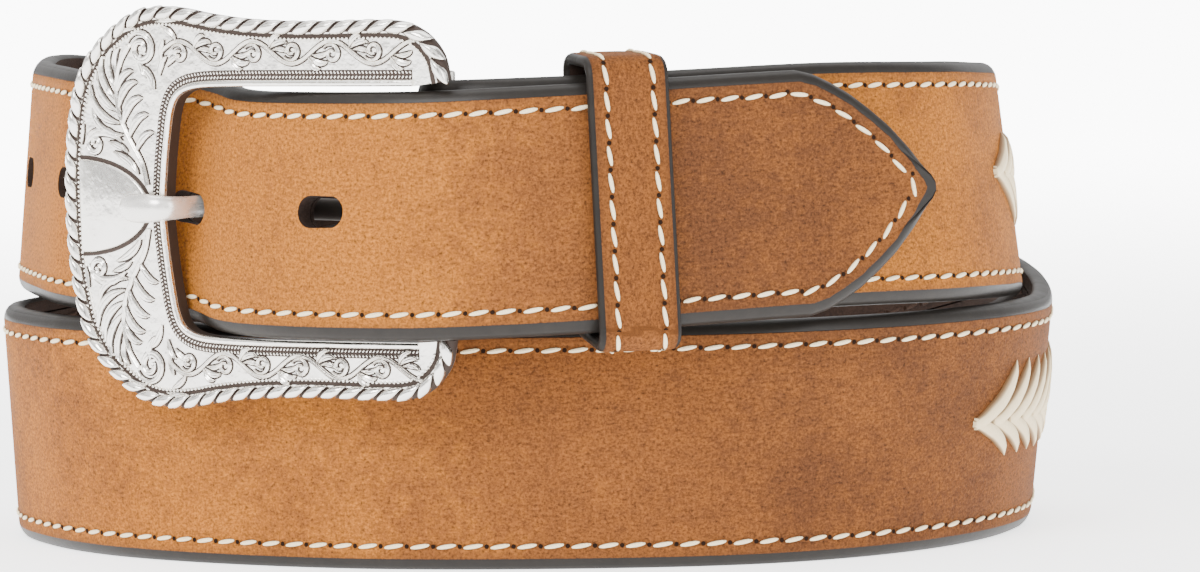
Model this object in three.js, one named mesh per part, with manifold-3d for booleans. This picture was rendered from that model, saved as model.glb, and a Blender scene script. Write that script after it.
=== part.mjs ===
import * as THREE from 'three';
import Module from 'manifold-3d';

const wasm = await Module();
wasm.setup();

// A stitched western belt, buckled, coiled twice and standing on its edge.
// Millimetres. X runs along the front, Y from the front to the back, Z up.

// Strap: one length of leather with rounded, painted edges.
const STRAP_WIDTH = 38.1;
const STRAP_THICK = 3.8;
const EDGE_ROUND = 1.4;
const STRAP_STEP = 11;

// Lining: a thin suede strip let in flush between the rims of the inner face.
const RIM = 2.4;
const RECESS = 0.9;
const LINING_THICK = 0.6;
const LINING_SEAM = 0.3;
const LINING_FROM = 44;
const LINING_TO_TIP = 34;

// Punched holes: distance from the tip, height above the middle line.
const HOLES = [
  [104.9, 0.5],
  [138.8, -1.5],
  [173.6, 0.8],
  [204.9, 0.9],
  [236.6, 0.5],
];
const HOLE_LONG = 8.8;
const HOLE_HIGH = 5.0;

// Heel bar of the buckle, and the strap end folded back round it.
const BAR_RADIUS = 1.7;
const BAR_OVER = 1.7;
const FOLD_THICK = 2.2;
const FOLD_OUTER = 4.2;
const FOLD_LENGTH = 16;
const FOLD_ROUND = 1.1;
const SLOT_HIGH = 7.5;

// Keeper: a loop of thinner leather round both lengths of strap.
const KEEPER_WIDTH = 13;
const KEEPER_THICK = 1.9;
const KEEPER_LOW = 36.6;
const KEEPER_HIGH = 78.1;
const KEEPER_FROM_TIP = 53.1;
const KEEPER_S = 26.5;
const KEEPER_SLOPE = 0.005;
const KEEPER_MIDDLE_Z = 57;
const KEEPER_CORNER = 3.2;
const KEEPER_LEAN = 5.9;
const KEEPER_ROOM_FRONT = 0.4;
const KEEPER_ROOM_BACK = 1.0;

// Buckle frame: a cast plate bent along the waist, with a rope border.
const FRAME_RADIUS = 195.7;
const FRAME_RIGHT = [-22.0, -12.5];
const FRAME_LEFT = [-83.7, 27.8];
const FRAME_Z = 56.35;
const FRAME_LEAN = -1.0;
const PLATE_THICK = 2.5;
const ROPE_RADIUS = 1.15;
const ROPE_PITCH = 3.3;
const ROPE_SLANT = 40;
const ROPE_IN = 0.45;
const RELIEF = 0.45;
const CARTOUCHE_P = 71.4;
const CARTOUCHE_LONG = 15;
const CARTOUCHE_HALF = 7.4;

// Lacing: flat lace laid in chevrons over a narrow core.
// Each row: start along the strap, height of the points over the middle, and
// the shares of length and height of the upper arms, then of the lower arms.
const LACE_PITCH = 5.8;
const LACE_THICK = 0.9;
const LACE_LIFT = 0.6;
const LACE_COUNT = 14;
const LACE_UPPER = [112.5, 1.0, [0.8, 0.7], [0.96, 0.92]];
const LACE_LOWER = [571.5, 0.5, [1.0, 1.0], [0.84, 0.64]];

// The course of the strap's outer face at its lower edge, from the heel bar,
// round the upper tier, down behind, round the lower tier, up behind and
// round the upper tier again to the tip. Lean is degrees, the top inward.
//   x, y, z, lean
const COURSE = [
  [-24.3, -11.5, 38.3, 5.8],
  [-13.0, -12.8, 38.6, 5.8],
  [-3.3, -12.0, 38.8, 5.8],
  [8.0, -8.6, 39.1, 5.8],
  [19.3, -3.7, 39.4, 6.0],
  [30.4, 1.8, 39.7, 6.3],
  [38.6, 6.8, 39.8, 6.6],
  [45.4, 11.9, 39.7, 6.7],
  [51.6, 17.6, 39.5, 6.7],
  [56.9, 23.9, 39.3, 6.7],
  [61.3, 31.1, 39.1, 6.7],
  [65.9, 43.0, 38.6, 6.7],
  [68.7, 55.0, 38.1, 6.7],
  [69.4, 67.0, 37.0, 6.5],
  [68.4, 80.0, 35.1, 6.0],
  [65.2, 92.0, 33.0, 5.0],
  [58.6, 103.6, 30.5, 4.0],
  [49.2, 112.2, 27.8, 3.0],
  [37.5, 118.8, 25.0, 2.0],
  [23.0, 123.2, 22.4, 1.0],
  [7.0, 125.6, 19.8, 0.5],
  [-10.0, 126.6, 17.0, 0.0],
  [-27.0, 126.2, 13.9, 0.0],
  [-43.5, 124.2, 10.4, 0.0],
  [-59.0, 120.6, 6.9, 0.0],
  [-72.5, 115.0, 3.8, -0.5],
  [-84.0, 107.0, 1.5, -1.5],
  [-92.5, 95.8, 0.1, -2.5],
  [-96.8, 82.5, -0.2, -3.0],
  [-95.5, 65.0, -0.2, -3.0],
  [-91.5, 53.1, -0.2, -3.0],
  [-85.9, 41.8, -0.2, -3.0],
  [-78.5, 31.6, -0.2, -1.5],
  [-69.5, 23.1, -0.2, 1.5],
  [-59.3, 15.8, -0.2, 2.0],
  [-48.3, 9.6, -0.2, 1.0],
  [-36.6, 4.8, -0.2, 0.0],
  [-24.3, 2.0, -0.2, 0.0],
  [-11.8, 0.5, -0.2, 0.0],
  [0.7, 0.0, -0.2, 0.0],
  [13.3, 0.6, -0.2, 0.0],
  [25.6, 3.3, -0.2, -1.0],
  [36.9, 8.8, -0.2, -2.0],
  [46.8, 16.5, -0.2, -3.5],
  [55.1, 25.9, -0.2, -4.5],
  [61.7, 36.6, -0.2, -5.5],
  [66.4, 48.0, -0.2, -6.2],
  [69.3, 59.5, -0.1, -6.5],
  [70.5, 71.0, 1.0, -6.5],
  [70.2, 82.0, 2.5, -6.0],
  [68.3, 93.0, 4.2, -5.0],
  [63.2, 104.6, 6.7, -4.0],
  [54.5, 114.6, 9.8, -3.0],
  [43.0, 122.3, 13.0, -2.0],
  [29.0, 127.6, 16.3, -1.0],
  [13.0, 130.9, 19.4, -0.5],
  [-4.0, 132.3, 22.4, 0.0],
  [-21.0, 132.4, 25.4, 0.0],
  [-38.0, 131.3, 28.6, 0.5],
  [-54.5, 129.0, 31.9, 1.0],
  [-69.5, 125.0, 35.4, 2.0],
  [-82.0, 118.8, 38.6, 3.0],
  [-91.4, 110.2, 40.3, 4.0],
  [-96.4, 99.0, 40.6, 4.8],
  [-97.3, 86.0, 39.9, 5.1],
  [-95.3, 73.0, 39.8, 5.2],
  [-92.3, 60.0, 39.7, 5.3],
  [-88.3, 47.1, 39.4, 5.5],
  [-82.3, 36.6, 39.0, 5.6],
  [-76.8, 29.6, 38.9, 5.7],
  [-71.6, 23.9, 38.9, 5.8],
  [-66.7, 19.0, 38.8, 5.9],
  [-63.1, 13.9, 38.1, 6.0],
  [-60.4, 8.8, 37.3, 6.0],
  [-56.6, 4.0, 36.9, 6.0],
  [-49.3, -3.6, 36.8, 6.0],
  [-38.8, -10.7, 36.8, 6.0],
  [-27.6, -15.4, 36.9, 6.0],
  [-15.1, -17.6, 37.3, 5.9],
  [-2.4, -16.3, 37.7, 5.9],
  [9.4, -12.9, 38.1, 5.8],
  [21.1, -7.9, 38.5, 5.8],
  [32.3, -2.4, 38.8, 5.7],
  [43.4, 3.3, 38.9, 5.7],
  [53.4, 8.6, 39.0, 5.7],
];

// The pointed tip: distance from the very end, half width there.
const TIP = [
  [0.0, 0.9],
  [0.7, 2.4],
  [3.9, 6.5],
  [7.2, 10.0],
  [10.5, 12.7],
  [13.8, 15.1],
  [17.0, 16.9],
  [20.0, 18.3],
  [23.0, 19.05],
];

// Middle of the whole outline, brought to the origin.
const MIDDLE_X = -11.8;
const MIDDLE_Y = 57.35;

const DEG = Math.PI / 180;
const X = new THREE.Vector3(1, 0, 0);
const Y = new THREE.Vector3(0, 1, 0);
const Z = new THREE.Vector3(0, 0, 1);
const O = new THREE.Vector3();

function lookUp(table, x, column = 1) {
  if (x <= table[0][0]) return table[0][column];
  for (let i = 1; i < table.length; i++) {
    const [a, b] = [table[i - 1], table[i]];
    if (x <= b[0]) {
      const k = (x - a[0]) / (b[0] - a[0]);
      return a[column] + (b[column] - a[column]) * k;
    }
  }
  return table[table.length - 1][column];
}

// Smooth lines through the course and its leans, and a table of arc length.
const courseLine = new THREE.CatmullRomCurve3(
  COURSE.map(([x, y, z]) => new THREE.Vector3(x, y, z)),
  false,
  'centripetal',
);
const FINE = 2000;
const lengthAt = [0];
for (let i = 1; i <= FINE; i++) {
  const step = courseLine.getPoint(i / FINE).distanceTo(courseLine.getPoint((i - 1) / FINE));
  lengthAt.push(lengthAt[i - 1] + step);
}
const COURSE_LENGTH = lengthAt[FINE];

// Place on the strap at distance s from the bar: face point, inward normal
// in plan, direction of travel and the direction in which the width rises.
function station(s) {
  let i = 1;
  while (i < FINE && lengthAt[i] < s) i++;
  const t = (i - 1 + (s - lengthAt[i - 1]) / (lengthAt[i] - lengthAt[i - 1])) / FINE;
  const u = Math.min(Math.max(t, 0), 1);
  const at = courseLine.getPoint(u);
  const along = courseLine.getTangent(u);
  const flat = new THREE.Vector3(along.x, along.y, 0).normalize();
  const inward = new THREE.Vector3(-flat.y, flat.x, 0);
  const row = u * (COURSE.length - 1);
  const k = Math.min(Math.floor(row), COURSE.length - 2);
  const lean = (COURSE[k][3] + (COURSE[k + 1][3] - COURSE[k][3]) * (row - k)) * DEG;
  const rise = inward.clone().multiplyScalar(Math.sin(lean));
  rise.z = Math.cos(lean);
  const deep = inward.clone().multiplyScalar(Math.cos(lean));
  deep.z = -Math.sin(lean);
  return { at, flat, inward, rise, deep };
}

function place(st, depth, height) {
  return st.at
    .clone()
    .addScaledVector(st.deep, depth)
    .addScaledVector(st.rise, height);
}

// A closed body from rings of points, each ring in the same order.
function ringBody(rings) {
  const n = rings[0].length;
  const points = rings.flat().flatMap((p) => [p.x, p.y, p.z]);
  const faces = [];
  for (let i = 0; i < rings.length - 1; i++) {
    for (let j = 0; j < n; j++) {
      const a = i * n + j;
      const b = i * n + ((j + 1) % n);
      faces.push(a, b, a + n, b, b + n, a + n);
    }
  }
  for (let j = 1; j < n - 1; j++) {
    faces.push(0, j + 1, j);
    const e = (rings.length - 1) * n;
    faces.push(e, e + j, e + j + 1);
  }
  return solid(points, faces);
}

function closedLoopBody(rings) {
  const n = rings[0].length;
  const m = rings.length;
  const points = rings.flat().flatMap((p) => [p.x, p.y, p.z]);
  const faces = [];
  for (let i = 0; i < m; i++) {
    for (let j = 0; j < n; j++) {
      const a = i * n + j;
      const b = i * n + ((j + 1) % n);
      const c = ((i + 1) % m) * n + j;
      const d = ((i + 1) % m) * n + ((j + 1) % n);
      faces.push(a, b, c, b, d, c);
    }
  }
  return solid(points, faces);
}

function solid(points, faces) {
  let volume = 0;
  const p = (i) => new THREE.Vector3(points[3 * i], points[3 * i + 1], points[3 * i + 2]);
  for (let i = 0; i < faces.length; i += 3) {
    volume += p(faces[i]).dot(p(faces[i + 1]).cross(p(faces[i + 2])));
  }
  const tris = volume > 0 ? faces : faces.slice().reverse();
  return new wasm.Manifold(
    new wasm.Mesh({
      numProp: 3,
      vertProperties: new Float32Array(points),
      triVerts: new Uint32Array(tris),
    }),
  );
}

// A prism from a flat outline, centred on a place and set in its directions.
function prism(outline, low, high, origin, ex, ey, ez) {
  const pts = outline.map(([x, y]) => new THREE.Vector2(x, y));
  if (THREE.ShapeUtils.area(pts) < 0) pts.reverse();
  const n = pts.length;
  const points = [];
  for (const level of [low, high]) {
    for (const q of pts) {
      const w = origin
        .clone()
        .addScaledVector(ex, q.x)
        .addScaledVector(ey, q.y)
        .addScaledVector(ez, level);
      points.push(w.x, w.y, w.z);
    }
  }
  const faces = [];
  for (const [a, b, c] of THREE.ShapeUtils.triangulateShape(pts, [])) {
    const turn = THREE.ShapeUtils.area([pts[a], pts[b], pts[c]]);
    const [k, l] = turn > 0 ? [b, c] : [c, b];
    faces.push(a, l, k, a + n, k + n, l + n);
  }
  for (let i = 0; i < n; i++) {
    const j = (i + 1) % n;
    faces.push(i, j, i + n, j, j + n, i + n);
  }
  return solid(points, faces);
}

function obround(length, height, steps = 5) {
  const r = height / 2;
  const d = length / 2 - r;
  const out = [];
  for (let i = 0; i <= steps; i++) {
    const a = -Math.PI / 2 + (Math.PI * i) / steps;
    out.push([d + r * Math.cos(a), r * Math.sin(a)]);
  }
  for (let i = 0; i <= steps; i++) {
    const a = Math.PI / 2 + (Math.PI * i) / steps;
    out.push([-d + r * Math.cos(a), r * Math.sin(a)]);
  }
  return out;
}

function union(bodies) {
  return bodies.reduce((a, b) => a.add(b));
}

const group = new THREE.Group();

function addNode(name, body, look) {
  const mesh = body.getMesh();
  const geometry = new THREE.BufferGeometry();
  geometry.setAttribute('position', new THREE.BufferAttribute(mesh.vertProperties, 3));
  geometry.setIndex(new THREE.BufferAttribute(mesh.triVerts, 1));
  geometry.computeVertexNormals();
  const node = new THREE.Mesh(geometry, new THREE.MeshStandardMaterial(look));
  node.name = name;
  node.position.set(-MIDDLE_X, -MIDDLE_Y, 0);
  group.add(node);
}

// Strap section: depth from the outer face and height, edges rounded, with
// the recess for the lining on the inner side.
function strapSection(st, thick, recess, half, round) {
  const mid = STRAP_WIDTH / 2;
  const r = Math.min(round, half * 0.9);
  const in1 = thick * 0.26;
  const low = mid - half;
  const high = mid + half;
  const rim = Math.min(RIM, half * 0.95);
  return [
    [0, low + r],
    [in1, low],
    [thick - in1, low],
    [thick, low + r],
    [thick, low + rim],
    [thick - recess, low + rim],
    [thick - recess, high - rim],
    [thick, high - rim],
    [thick, high - r],
    [thick - in1, high],
    [in1, high],
    [0, high - r],
  ].map(([d, h]) => place(st, d, h));
}

// The strap's own end: the fold behind the heel bar, its turn round the bar,
// then the skived length that thickens to the full strap.
const barStation = station(0);
const barCentre = place(barStation, FOLD_OUTER, 0);

// distance from the bar, outer face of the fold behind the strap, thickness
const FOLD = [
  [FOLD_LENGTH, 6.3, 2.0],
  [13, 6.4, 2.0],
  [9, 6.7, 2.0],
  [5, 7.5, 2.1],
  [2, 8.2, FOLD_THICK],
  [0, 8.4, FOLD_THICK],
];

function foldRings() {
  const rings = [];
  const like = (st, at, inward) => {
    const lean = Math.asin(st.rise.clone().setZ(0).length());
    const deep = inward.clone().multiplyScalar(Math.cos(lean));
    return { at, flat: st.flat, inward, rise: st.rise, deep };
  };
  for (const [s, off, thick] of FOLD) {
    const st = station(s);
    const at = place(st, off, 0);
    const turned = like(barStation, at, st.inward.clone().negate());
    rings.push(strapSection(turned, thick, 0, STRAP_WIDTH / 2, FOLD_ROUND));
  }
  const back = barStation.inward;
  const left = barStation.flat.clone().negate();
  for (const a of [30, 60, 90, 120, 150]) {
    const out = back
      .clone()
      .multiplyScalar(Math.cos(a * DEG))
      .addScaledVector(left, Math.sin(a * DEG));
    const at = barCentre.clone().addScaledVector(out, FOLD_OUTER);
    const turned = like(barStation, at, out.clone().negate());
    rings.push(strapSection(turned, FOLD_THICK, 0, STRAP_WIDTH / 2, FOLD_ROUND));
  }
  return rings;
}

function strapThick(s) {
  return lookUp([[0, FOLD_THICK], [5, 2.6], [9, 3.2], [13, 3.6], [18, STRAP_THICK]], s);
}

// Where the sections stand: close at the skived end and at the tip.
function sectionStops() {
  const tipFrom = COURSE_LENGTH - 23;
  const stops = [0, 5, 9, 13, 18];
  const count = Math.round((tipFrom - 18) / STRAP_STEP);
  for (let i = 1; i < count; i++) stops.push(18 + ((tipFrom - 18) * i) / count);
  for (const [back] of TIP.slice().reverse()) stops.push(COURSE_LENGTH - back);
  return stops;
}
const STOPS = sectionStops();
const linedAt = (s) => s > LINING_FROM && s < COURSE_LENGTH - LINING_TO_TIP;

function strapBody() {
  const rings = foldRings();
  for (const s of STOPS) {
    const st = station(s);
    const half = lookUp(TIP, COURSE_LENGTH - s);
    const thick = strapThick(s);
    const last = COURSE_LENGTH - s < 0.1;
    const round = lookUp([[9, FOLD_ROUND], [18, EDGE_ROUND]], s);
    rings.push(strapSection(st, last ? thick * 0.9 : thick, linedAt(s) ? RECESS : 0, half, round));
  }
  return ringBody(rings);
}

function liningBody() {
  const low = RIM + LINING_SEAM;
  const high = STRAP_WIDTH - low;
  const outer = STRAP_THICK - LINING_THICK;
  const rings = STOPS.filter(linedAt).map((s) => {
    const st = station(s);
    return [
      place(st, outer, low),
      place(st, outer, high),
      place(st, STRAP_THICK, high),
      place(st, STRAP_THICK, low),
    ];
  });
  return ringBody(rings);
}

// One cutter for each punched hole, and one slot for the prong in the fold.
const holeCutters = [];
for (const [back, up] of HOLES) {
  const st = station(COURSE_LENGTH - back);
  const origin = place(st, 0, STRAP_WIDTH / 2 + up);
  holeCutters.push(prism(obround(HOLE_LONG, HOLE_HIGH), -3, 8, origin, st.flat, st.rise, st.deep));
}
const slotCutter = prism(
  [[-9, -SLOT_HIGH / 2], [7, -SLOT_HIGH / 2], [7, SLOT_HIGH / 2], [-9, SLOT_HIGH / 2]],
  -2,
  12,
  place(barStation, 0, STRAP_WIDTH / 2 - 1),
  barStation.flat,
  barStation.rise,
  barStation.deep,
);

// The lower edge is flat where the belt stands on it.
const ground = prism([[-110, -20], [90, -20], [90, 140], [-110, 140]], -5, 0, O, X, Y, Z);
let strap = strapBody().subtract(slotCutter).subtract(ground);
let lining = liningBody();
for (const cutter of holeCutters) {
  strap = strap.subtract(cutter);
  lining = lining.subtract(cutter);
}
addNode('strap', strap, { color: 0xc08a55, roughness: 0.8, metalness: 0 });
addNode('strap_lining', lining, { color: 0x3a2a22, roughness: 0.95, metalness: 0 });

// Keeper: a rounded loop in the plane across the strap.
function keeperBody() {
  const st = station(KEEPER_S);
  const tip = station(COURSE_LENGTH - KEEPER_FROM_TIP);
  const across = tip.inward;
  const front = -KEEPER_ROOM_FRONT - KEEPER_THICK;
  const behind = st.at.clone().sub(tip.at).dot(across) + STRAP_THICK + KEEPER_ROOM_BACK;
  const loop = [];
  const corner = (cy, cz, r, from) => {
    for (const a of [0, 30, 60, 90]) {
      const t = (from + a) * DEG;
      loop.push([cy + r * Math.cos(t), cz + r * Math.sin(t), Math.cos(t), Math.sin(t)]);
    }
  };
  const r = KEEPER_CORNER;
  const lowZ = KEEPER_LOW - KEEPER_THICK;
  const highZ = KEEPER_HIGH + KEEPER_THICK;
  const outBack = behind + KEEPER_THICK;
  corner(front + r, lowZ + r, r, 180);
  corner(outBack - r, lowZ + r + 1.4, r, 270);
  corner(outBack - r, highZ - r, r, 0);
  corner(front + r, highZ - r - 0.4, r, 90);
  const rings = loop.map(([y, z, ny, nz]) => {
    const half = KEEPER_WIDTH / 2;
    const t = KEEPER_THICK;
    const section = [
      [-half, -t * 0.5],
      [-half + 0.35, -0.12],
      [-half + 0.9, 0],
      [half - 0.9, 0],
      [half - 0.35, -0.12],
      [half, -t * 0.5],
      [half - 0.6, -t],
      [-half + 0.6, -t],
    ];
    return section.map(([w, d]) => {
      const yy = y + ny * d;
      const zz = z + nz * d;
      const shift = Math.tan(KEEPER_LEAN * DEG) * (zz - tip.at.z);
      return tip.at
        .clone()
        .setZ(zz + w * KEEPER_SLOPE)
        .addScaledVector(across, yy + shift)
        .addScaledVector(tip.flat, w - (zz - KEEPER_MIDDLE_Z) * KEEPER_SLOPE);
    });
  });
  return closedLoopBody(rings);
}
addNode('keeper', keeperBody(), { color: 0xb47f4e, roughness: 0.8, metalness: 0 });

// Buckle frame, drawn flat (p along the plate from the bar, q up from its
// middle, d out of the face), then bent round the waist.
const chord = new THREE.Vector2(FRAME_LEFT[0] - FRAME_RIGHT[0], FRAME_LEFT[1] - FRAME_RIGHT[1]);
const halfAngle = Math.asin(chord.length() / 2 / FRAME_RADIUS);
const chordDir = chord.clone().normalize();
const outDir = new THREE.Vector2(-chordDir.y, chordDir.x);
if (outDir.y > 0) outDir.negate();
const bendCentre = new THREE.Vector2(...FRAME_RIGHT)
  .addScaledVector(chord, 0.5)
  .addScaledVector(outDir, -FRAME_RADIUS * Math.cos(halfAngle));

function bend([p, q, d]) {
  const a = p / FRAME_RADIUS - halfAngle;
  const e = outDir.clone().multiplyScalar(Math.cos(a)).addScaledVector(chordDir, Math.sin(a));
  const lean = FRAME_LEAN * DEG;
  const r = FRAME_RADIUS + d * Math.cos(lean) - q * Math.sin(lean);
  const at = bendCentre.clone().addScaledVector(e, r);
  return [at.x, at.y, FRAME_Z + q * Math.cos(lean) + d * Math.sin(lean)];
}

// Outer edge of the frame from the bar end of one arm to the middle of the
// left side: p, distance from the middle line
const FRAME_EDGE = [
  [0.4, 19.9],
  [1.4, 24.0],
  [4.0, 27.2],
  [7.4, 28.9],
  [12.0, 29.3],
  [20.0, 29.2],
  [28.0, 29.2],
  [36.0, 29.6],
  [43.0, 30.4],
  [48.5, 31.3],
  [53.5, 31.5],
  [58.0, 30.7],
  [63.5, 27.9],
  [68.3, 24.0],
  [71.4, 19.5],
  [73.2, 13.5],
  [74.2, 6.8],
];

// Window edge, from the bar end to the middle of the left side
const WINDOW_EDGE = [
  [6.4, 19.6],
  [18.0, 19.6],
  [30.0, 19.6],
  [41.0, 19.5],
  [46.6, 19.1],
  [49.4, 18.0],
  [50.7, 16.0],
  [51.6, 12.0],
  [52.5, 6.0],
];
const WINDOW_DROP = 0.6;

// One strand of the rope, as rings of [along, across, up]
const STRAND = [
  [[-1.9, -0.3, -0.9], [-1.8, 0.0, 0.25], [-1.9, 0.3, -0.9]],
  [[-0.9, -0.85, -0.9], [-0.8, 0.0, 0.95], [-0.9, 0.85, -0.9]],
  [[0.9, -0.85, -0.9], [0.8, 0.0, 0.95], [0.9, 0.85, -0.9]],
  [[1.9, -0.3, -0.9], [1.8, 0.0, 0.25], [1.9, 0.3, -0.9]],
];

function inset(points, by) {
  return points.map(([x, y], i) => {
    const [ax, ay] = points[Math.max(i - 1, 0)];
    const [bx, by2] = points[Math.min(i + 1, points.length - 1)];
    const l = Math.hypot(bx - ax, by2 - ay);
    return [x + ((by2 - ay) / l) * by, y - ((bx - ax) / l) * by];
  });
}

function mirrored(points, middle) {
  const lower = points.map(([p, q]) => [p, -q]).reverse();
  return [...points, middle, ...lower];
}

function windowOutline(by, ends) {
  const edge = [...mirrored(inset(WINDOW_EDGE, -by), [53.0 + by, 0]), ...ends];
  return edge.map(([p, q]) => [p, q - WINDOW_DROP]);
}

function plateBody() {
  const outer = mirrored(inset(FRAME_EDGE, ROPE_IN), [74.5 - ROPE_IN, 0]);
  const ends = [[-4, -19.6], [-4, 19.6]];
  const blank = prism(outer, -PLATE_THICK, 0, O, X, Y, Z);
  const rim = prism(windowOutline(1.3, [[6.4, -20.9], [6.4, 20.9]]), -1, 0.35, O, X, Y, Z);
  return blank.add(rim).subtract(prism(windowOutline(0, ends), -9, 3, O, X, Y, Z));
}

// Rope border: slanted strands set close along the edge of the plate.
function ropeBody() {
  const half = inset(FRAME_EDGE, ROPE_RADIUS);
  const line = mirrored(half, [74.5 - ROPE_RADIUS, 0]).map(([p, q]) => new THREE.Vector3(p, q, 0));
  const path = new THREE.CatmullRomCurve3(line, false, 'centripetal');
  path.arcLengthDivisions = 800;
  const count = Math.round(path.getLength() / ROPE_PITCH);
  const bodies = [];
  for (let i = 0; i < count; i++) {
    const u = (i + 0.5) / count;
    const at = path.getPointAt(u);
    const t = path.getTangentAt(u);
    const side = new THREE.Vector3(-t.y, t.x, 0);
    const slant = ROPE_SLANT * DEG;
    const long = t.clone().multiplyScalar(Math.cos(slant)).addScaledVector(side, -Math.sin(slant));
    const cross = t.clone().multiplyScalar(Math.sin(slant)).addScaledVector(side, Math.cos(slant));
    const point = ([l, c, z]) =>
      at
        .clone()
        .addScaledVector(long, l)
        .addScaledVector(cross, c)
        .addScaledVector(Z, z);
    bodies.push(ringBody(STRAND.map((ring) => ring.map(point))));
  }
  return union(bodies);
}

// Raised scrolls: each a tapering rib curling in on itself.
//   centre p, centre q, first radius, start angle, turn (degrees)
const CORNER_SCROLLS = [
  [56.0, 25.0, 3.1, 20, 450],
  [67.2, 11.0, 2.5, 130, -420],
  [62.3, 8.8, 1.6, 20, 400],
];
const SCROLL_STEPS = 7;

// A stem waves along the middle of each arm, with a scroll in every bend.
const STEM_FIRST = 49;
const STEM_BEND = 7.2;
const STEM_BENDS = 6;
const STEM_MIDDLE = 24.25;
const STEM_WAVE = 1.75;
const STEM_WIDE = 0.45;
const SPRAY = [
  [56.9, 8.6, 0.3],
  [60.3, 14.4, 0.6],
  [63.0, 20.6, 0.55],
  [64.3, 26.0, 0.2],
];

function scrollLine([p, q, radius, start, turn]) {
  const line = [];
  for (let i = 0; i <= SCROLL_STEPS; i++) {
    const k = i / SCROLL_STEPS;
    const a = (start + turn * k) * DEG;
    const r = radius * (1 - 0.72 * k);
    line.push([p + r * Math.cos(a), q + r * Math.sin(a), 0.5 * (1 - 0.35 * k)]);
  }
  return line;
}

function stemLine() {
  const line = [];
  for (let i = 0; i <= STEM_BENDS * 3; i++) {
    const p = STEM_FIRST + STEM_BEND * (0.5 - i / 3);
    const wave = Math.cos((Math.PI * (STEM_FIRST - p)) / STEM_BEND);
    line.push([p, STEM_MIDDLE + STEM_WAVE * wave, STEM_WIDE]);
  }
  return line;
}

function reliefLines() {
  const lines = [SPRAY, stemLine(), ...CORNER_SCROLLS.map(scrollLine)];
  for (let i = 0; i < STEM_BENDS; i++) {
    const side = i % 2 ? -1 : 1;
    const p = STEM_FIRST - STEM_BEND * i;
    lines.push(scrollLine([p, STEM_MIDDLE - 0.25 * side, 1.65, 30 * side, 400 * side]));
  }
  return lines;
}

// A rib three-sided in section along a flat line of p, q and half width.
function ribBody(line, sign) {
  const rings = line.map(([p, q, wide], i) => {
    const [ap, aq] = line[Math.max(i - 1, 0)];
    const [bp, bq] = line[Math.min(i + 1, line.length - 1)];
    const l = Math.hypot(bp - ap, bq - aq);
    const at = (k, d) => {
      const across = (k * wide) / l;
      return new THREE.Vector3(p - (bq - aq) * across, (q + (bp - ap) * across) * sign, d);
    };
    return [at(-1, -0.3), at(0, RELIEF), at(1, -0.3)];
  });
  return ringBody(rings);
}

function cartoucheBody() {
  const outline = [];
  for (let i = 0; i <= 14; i++) {
    const a = (90 + (180 * i) / 14) * DEG;
    outline.push([CARTOUCHE_P + CARTOUCHE_LONG * Math.cos(a), CARTOUCHE_HALF * Math.sin(a)]);
  }
  return prism(outline, -0.5, 0.55, O, X, Y, Z);
}

function heelBarBody() {
  const rings = [];
  for (const h of [-BAR_OVER, STRAP_WIDTH + BAR_OVER]) {
    const ring = [];
    for (let i = 0; i < 12; i++) {
      const a = (i * 30) * DEG;
      ring.push(
        barCentre
          .clone()
          .addScaledVector(barStation.rise, h)
          .addScaledVector(barStation.flat, BAR_RADIUS * Math.cos(a))
          .addScaledVector(barStation.deep, BAR_RADIUS * Math.sin(a)),
      );
    }
    rings.push(ring);
  }
  return ringBody(rings);
}

// Lugs: short arms from the back of the frame to the two ends of the bar.
//   x, y of the corners, lowest and highest z
const LUG_HIGH = [[[-29.0, -8.8], [-24.3, -10.8], [-23.8, -1.6], [-27.6, -1.6]], 76.9, 81.6];
const LUG_LOW = [[[-28.5, -8.7], [-23.8, -10.4], [-23.5, -5.0], [-27.3, -5.0]], 31.2, 35.9];

function lugBody([corners, low, high]) {
  return prism(corners, low, high, O, X, Y, Z);
}

function bent(body) {
  const mesh = body.getMesh();
  const points = Array.from(mesh.vertProperties);
  const out = [];
  for (let i = 0; i < points.length; i += 3) out.push(...bend(points.slice(i, i + 3)));
  return solid(out, Array.from(mesh.triVerts));
}

const flatFrame = union([
  plateBody(),
  ropeBody(),
  cartoucheBody(),
  ...reliefLines().flatMap((line) => [ribBody(line, 1), ribBody(line, -1)]),
]);
const frame = union([bent(flatFrame), heelBarBody(), lugBody(LUG_HIGH), lugBody(LUG_LOW)]);
addNode('buckle_frame', frame, {
  color: 0xc9c7c2,
  roughness: 0.3,
  metalness: 1,
});

// Prong: an eye round the heel bar, a shank behind the strap, then out
// through the second hole to lie on the frame.
//   x, y, half width, half depth
const PRONG_Z = 56.3;
const EYE_HOLE = 2.0;
const EYE_OUTER = 3.5;
const PRONG = [
  [-26.0, -4.3, 1.7, 1.15],
  [-37.0, 2.6, 1.7, 1.15],
  [-47.0, 9.2, 1.7, 1.1],
  [-53.4, 13.6, 1.7, 1.0],
  [-57.1, 18.1, 1.7, 1.0],
  [-59.9, 19.2, 1.7, 1.0],
  [-62.3, 17.7, 1.7, 1.0],
  [-64.0, 15.7, 1.7, 1.05],
  [-65.4, 13.7, 1.75, 1.1],
  [-67.3, 12.2, 1.9, 1.15],
  [-69.2, 12.3, 2.1, 1.2],
  [-71.4, 13.9, 2.35, 1.3],
  [-73.5, 15.8, 2.2, 1.25],
  [-74.7, 17.0, 1.3, 0.8],
];

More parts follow.
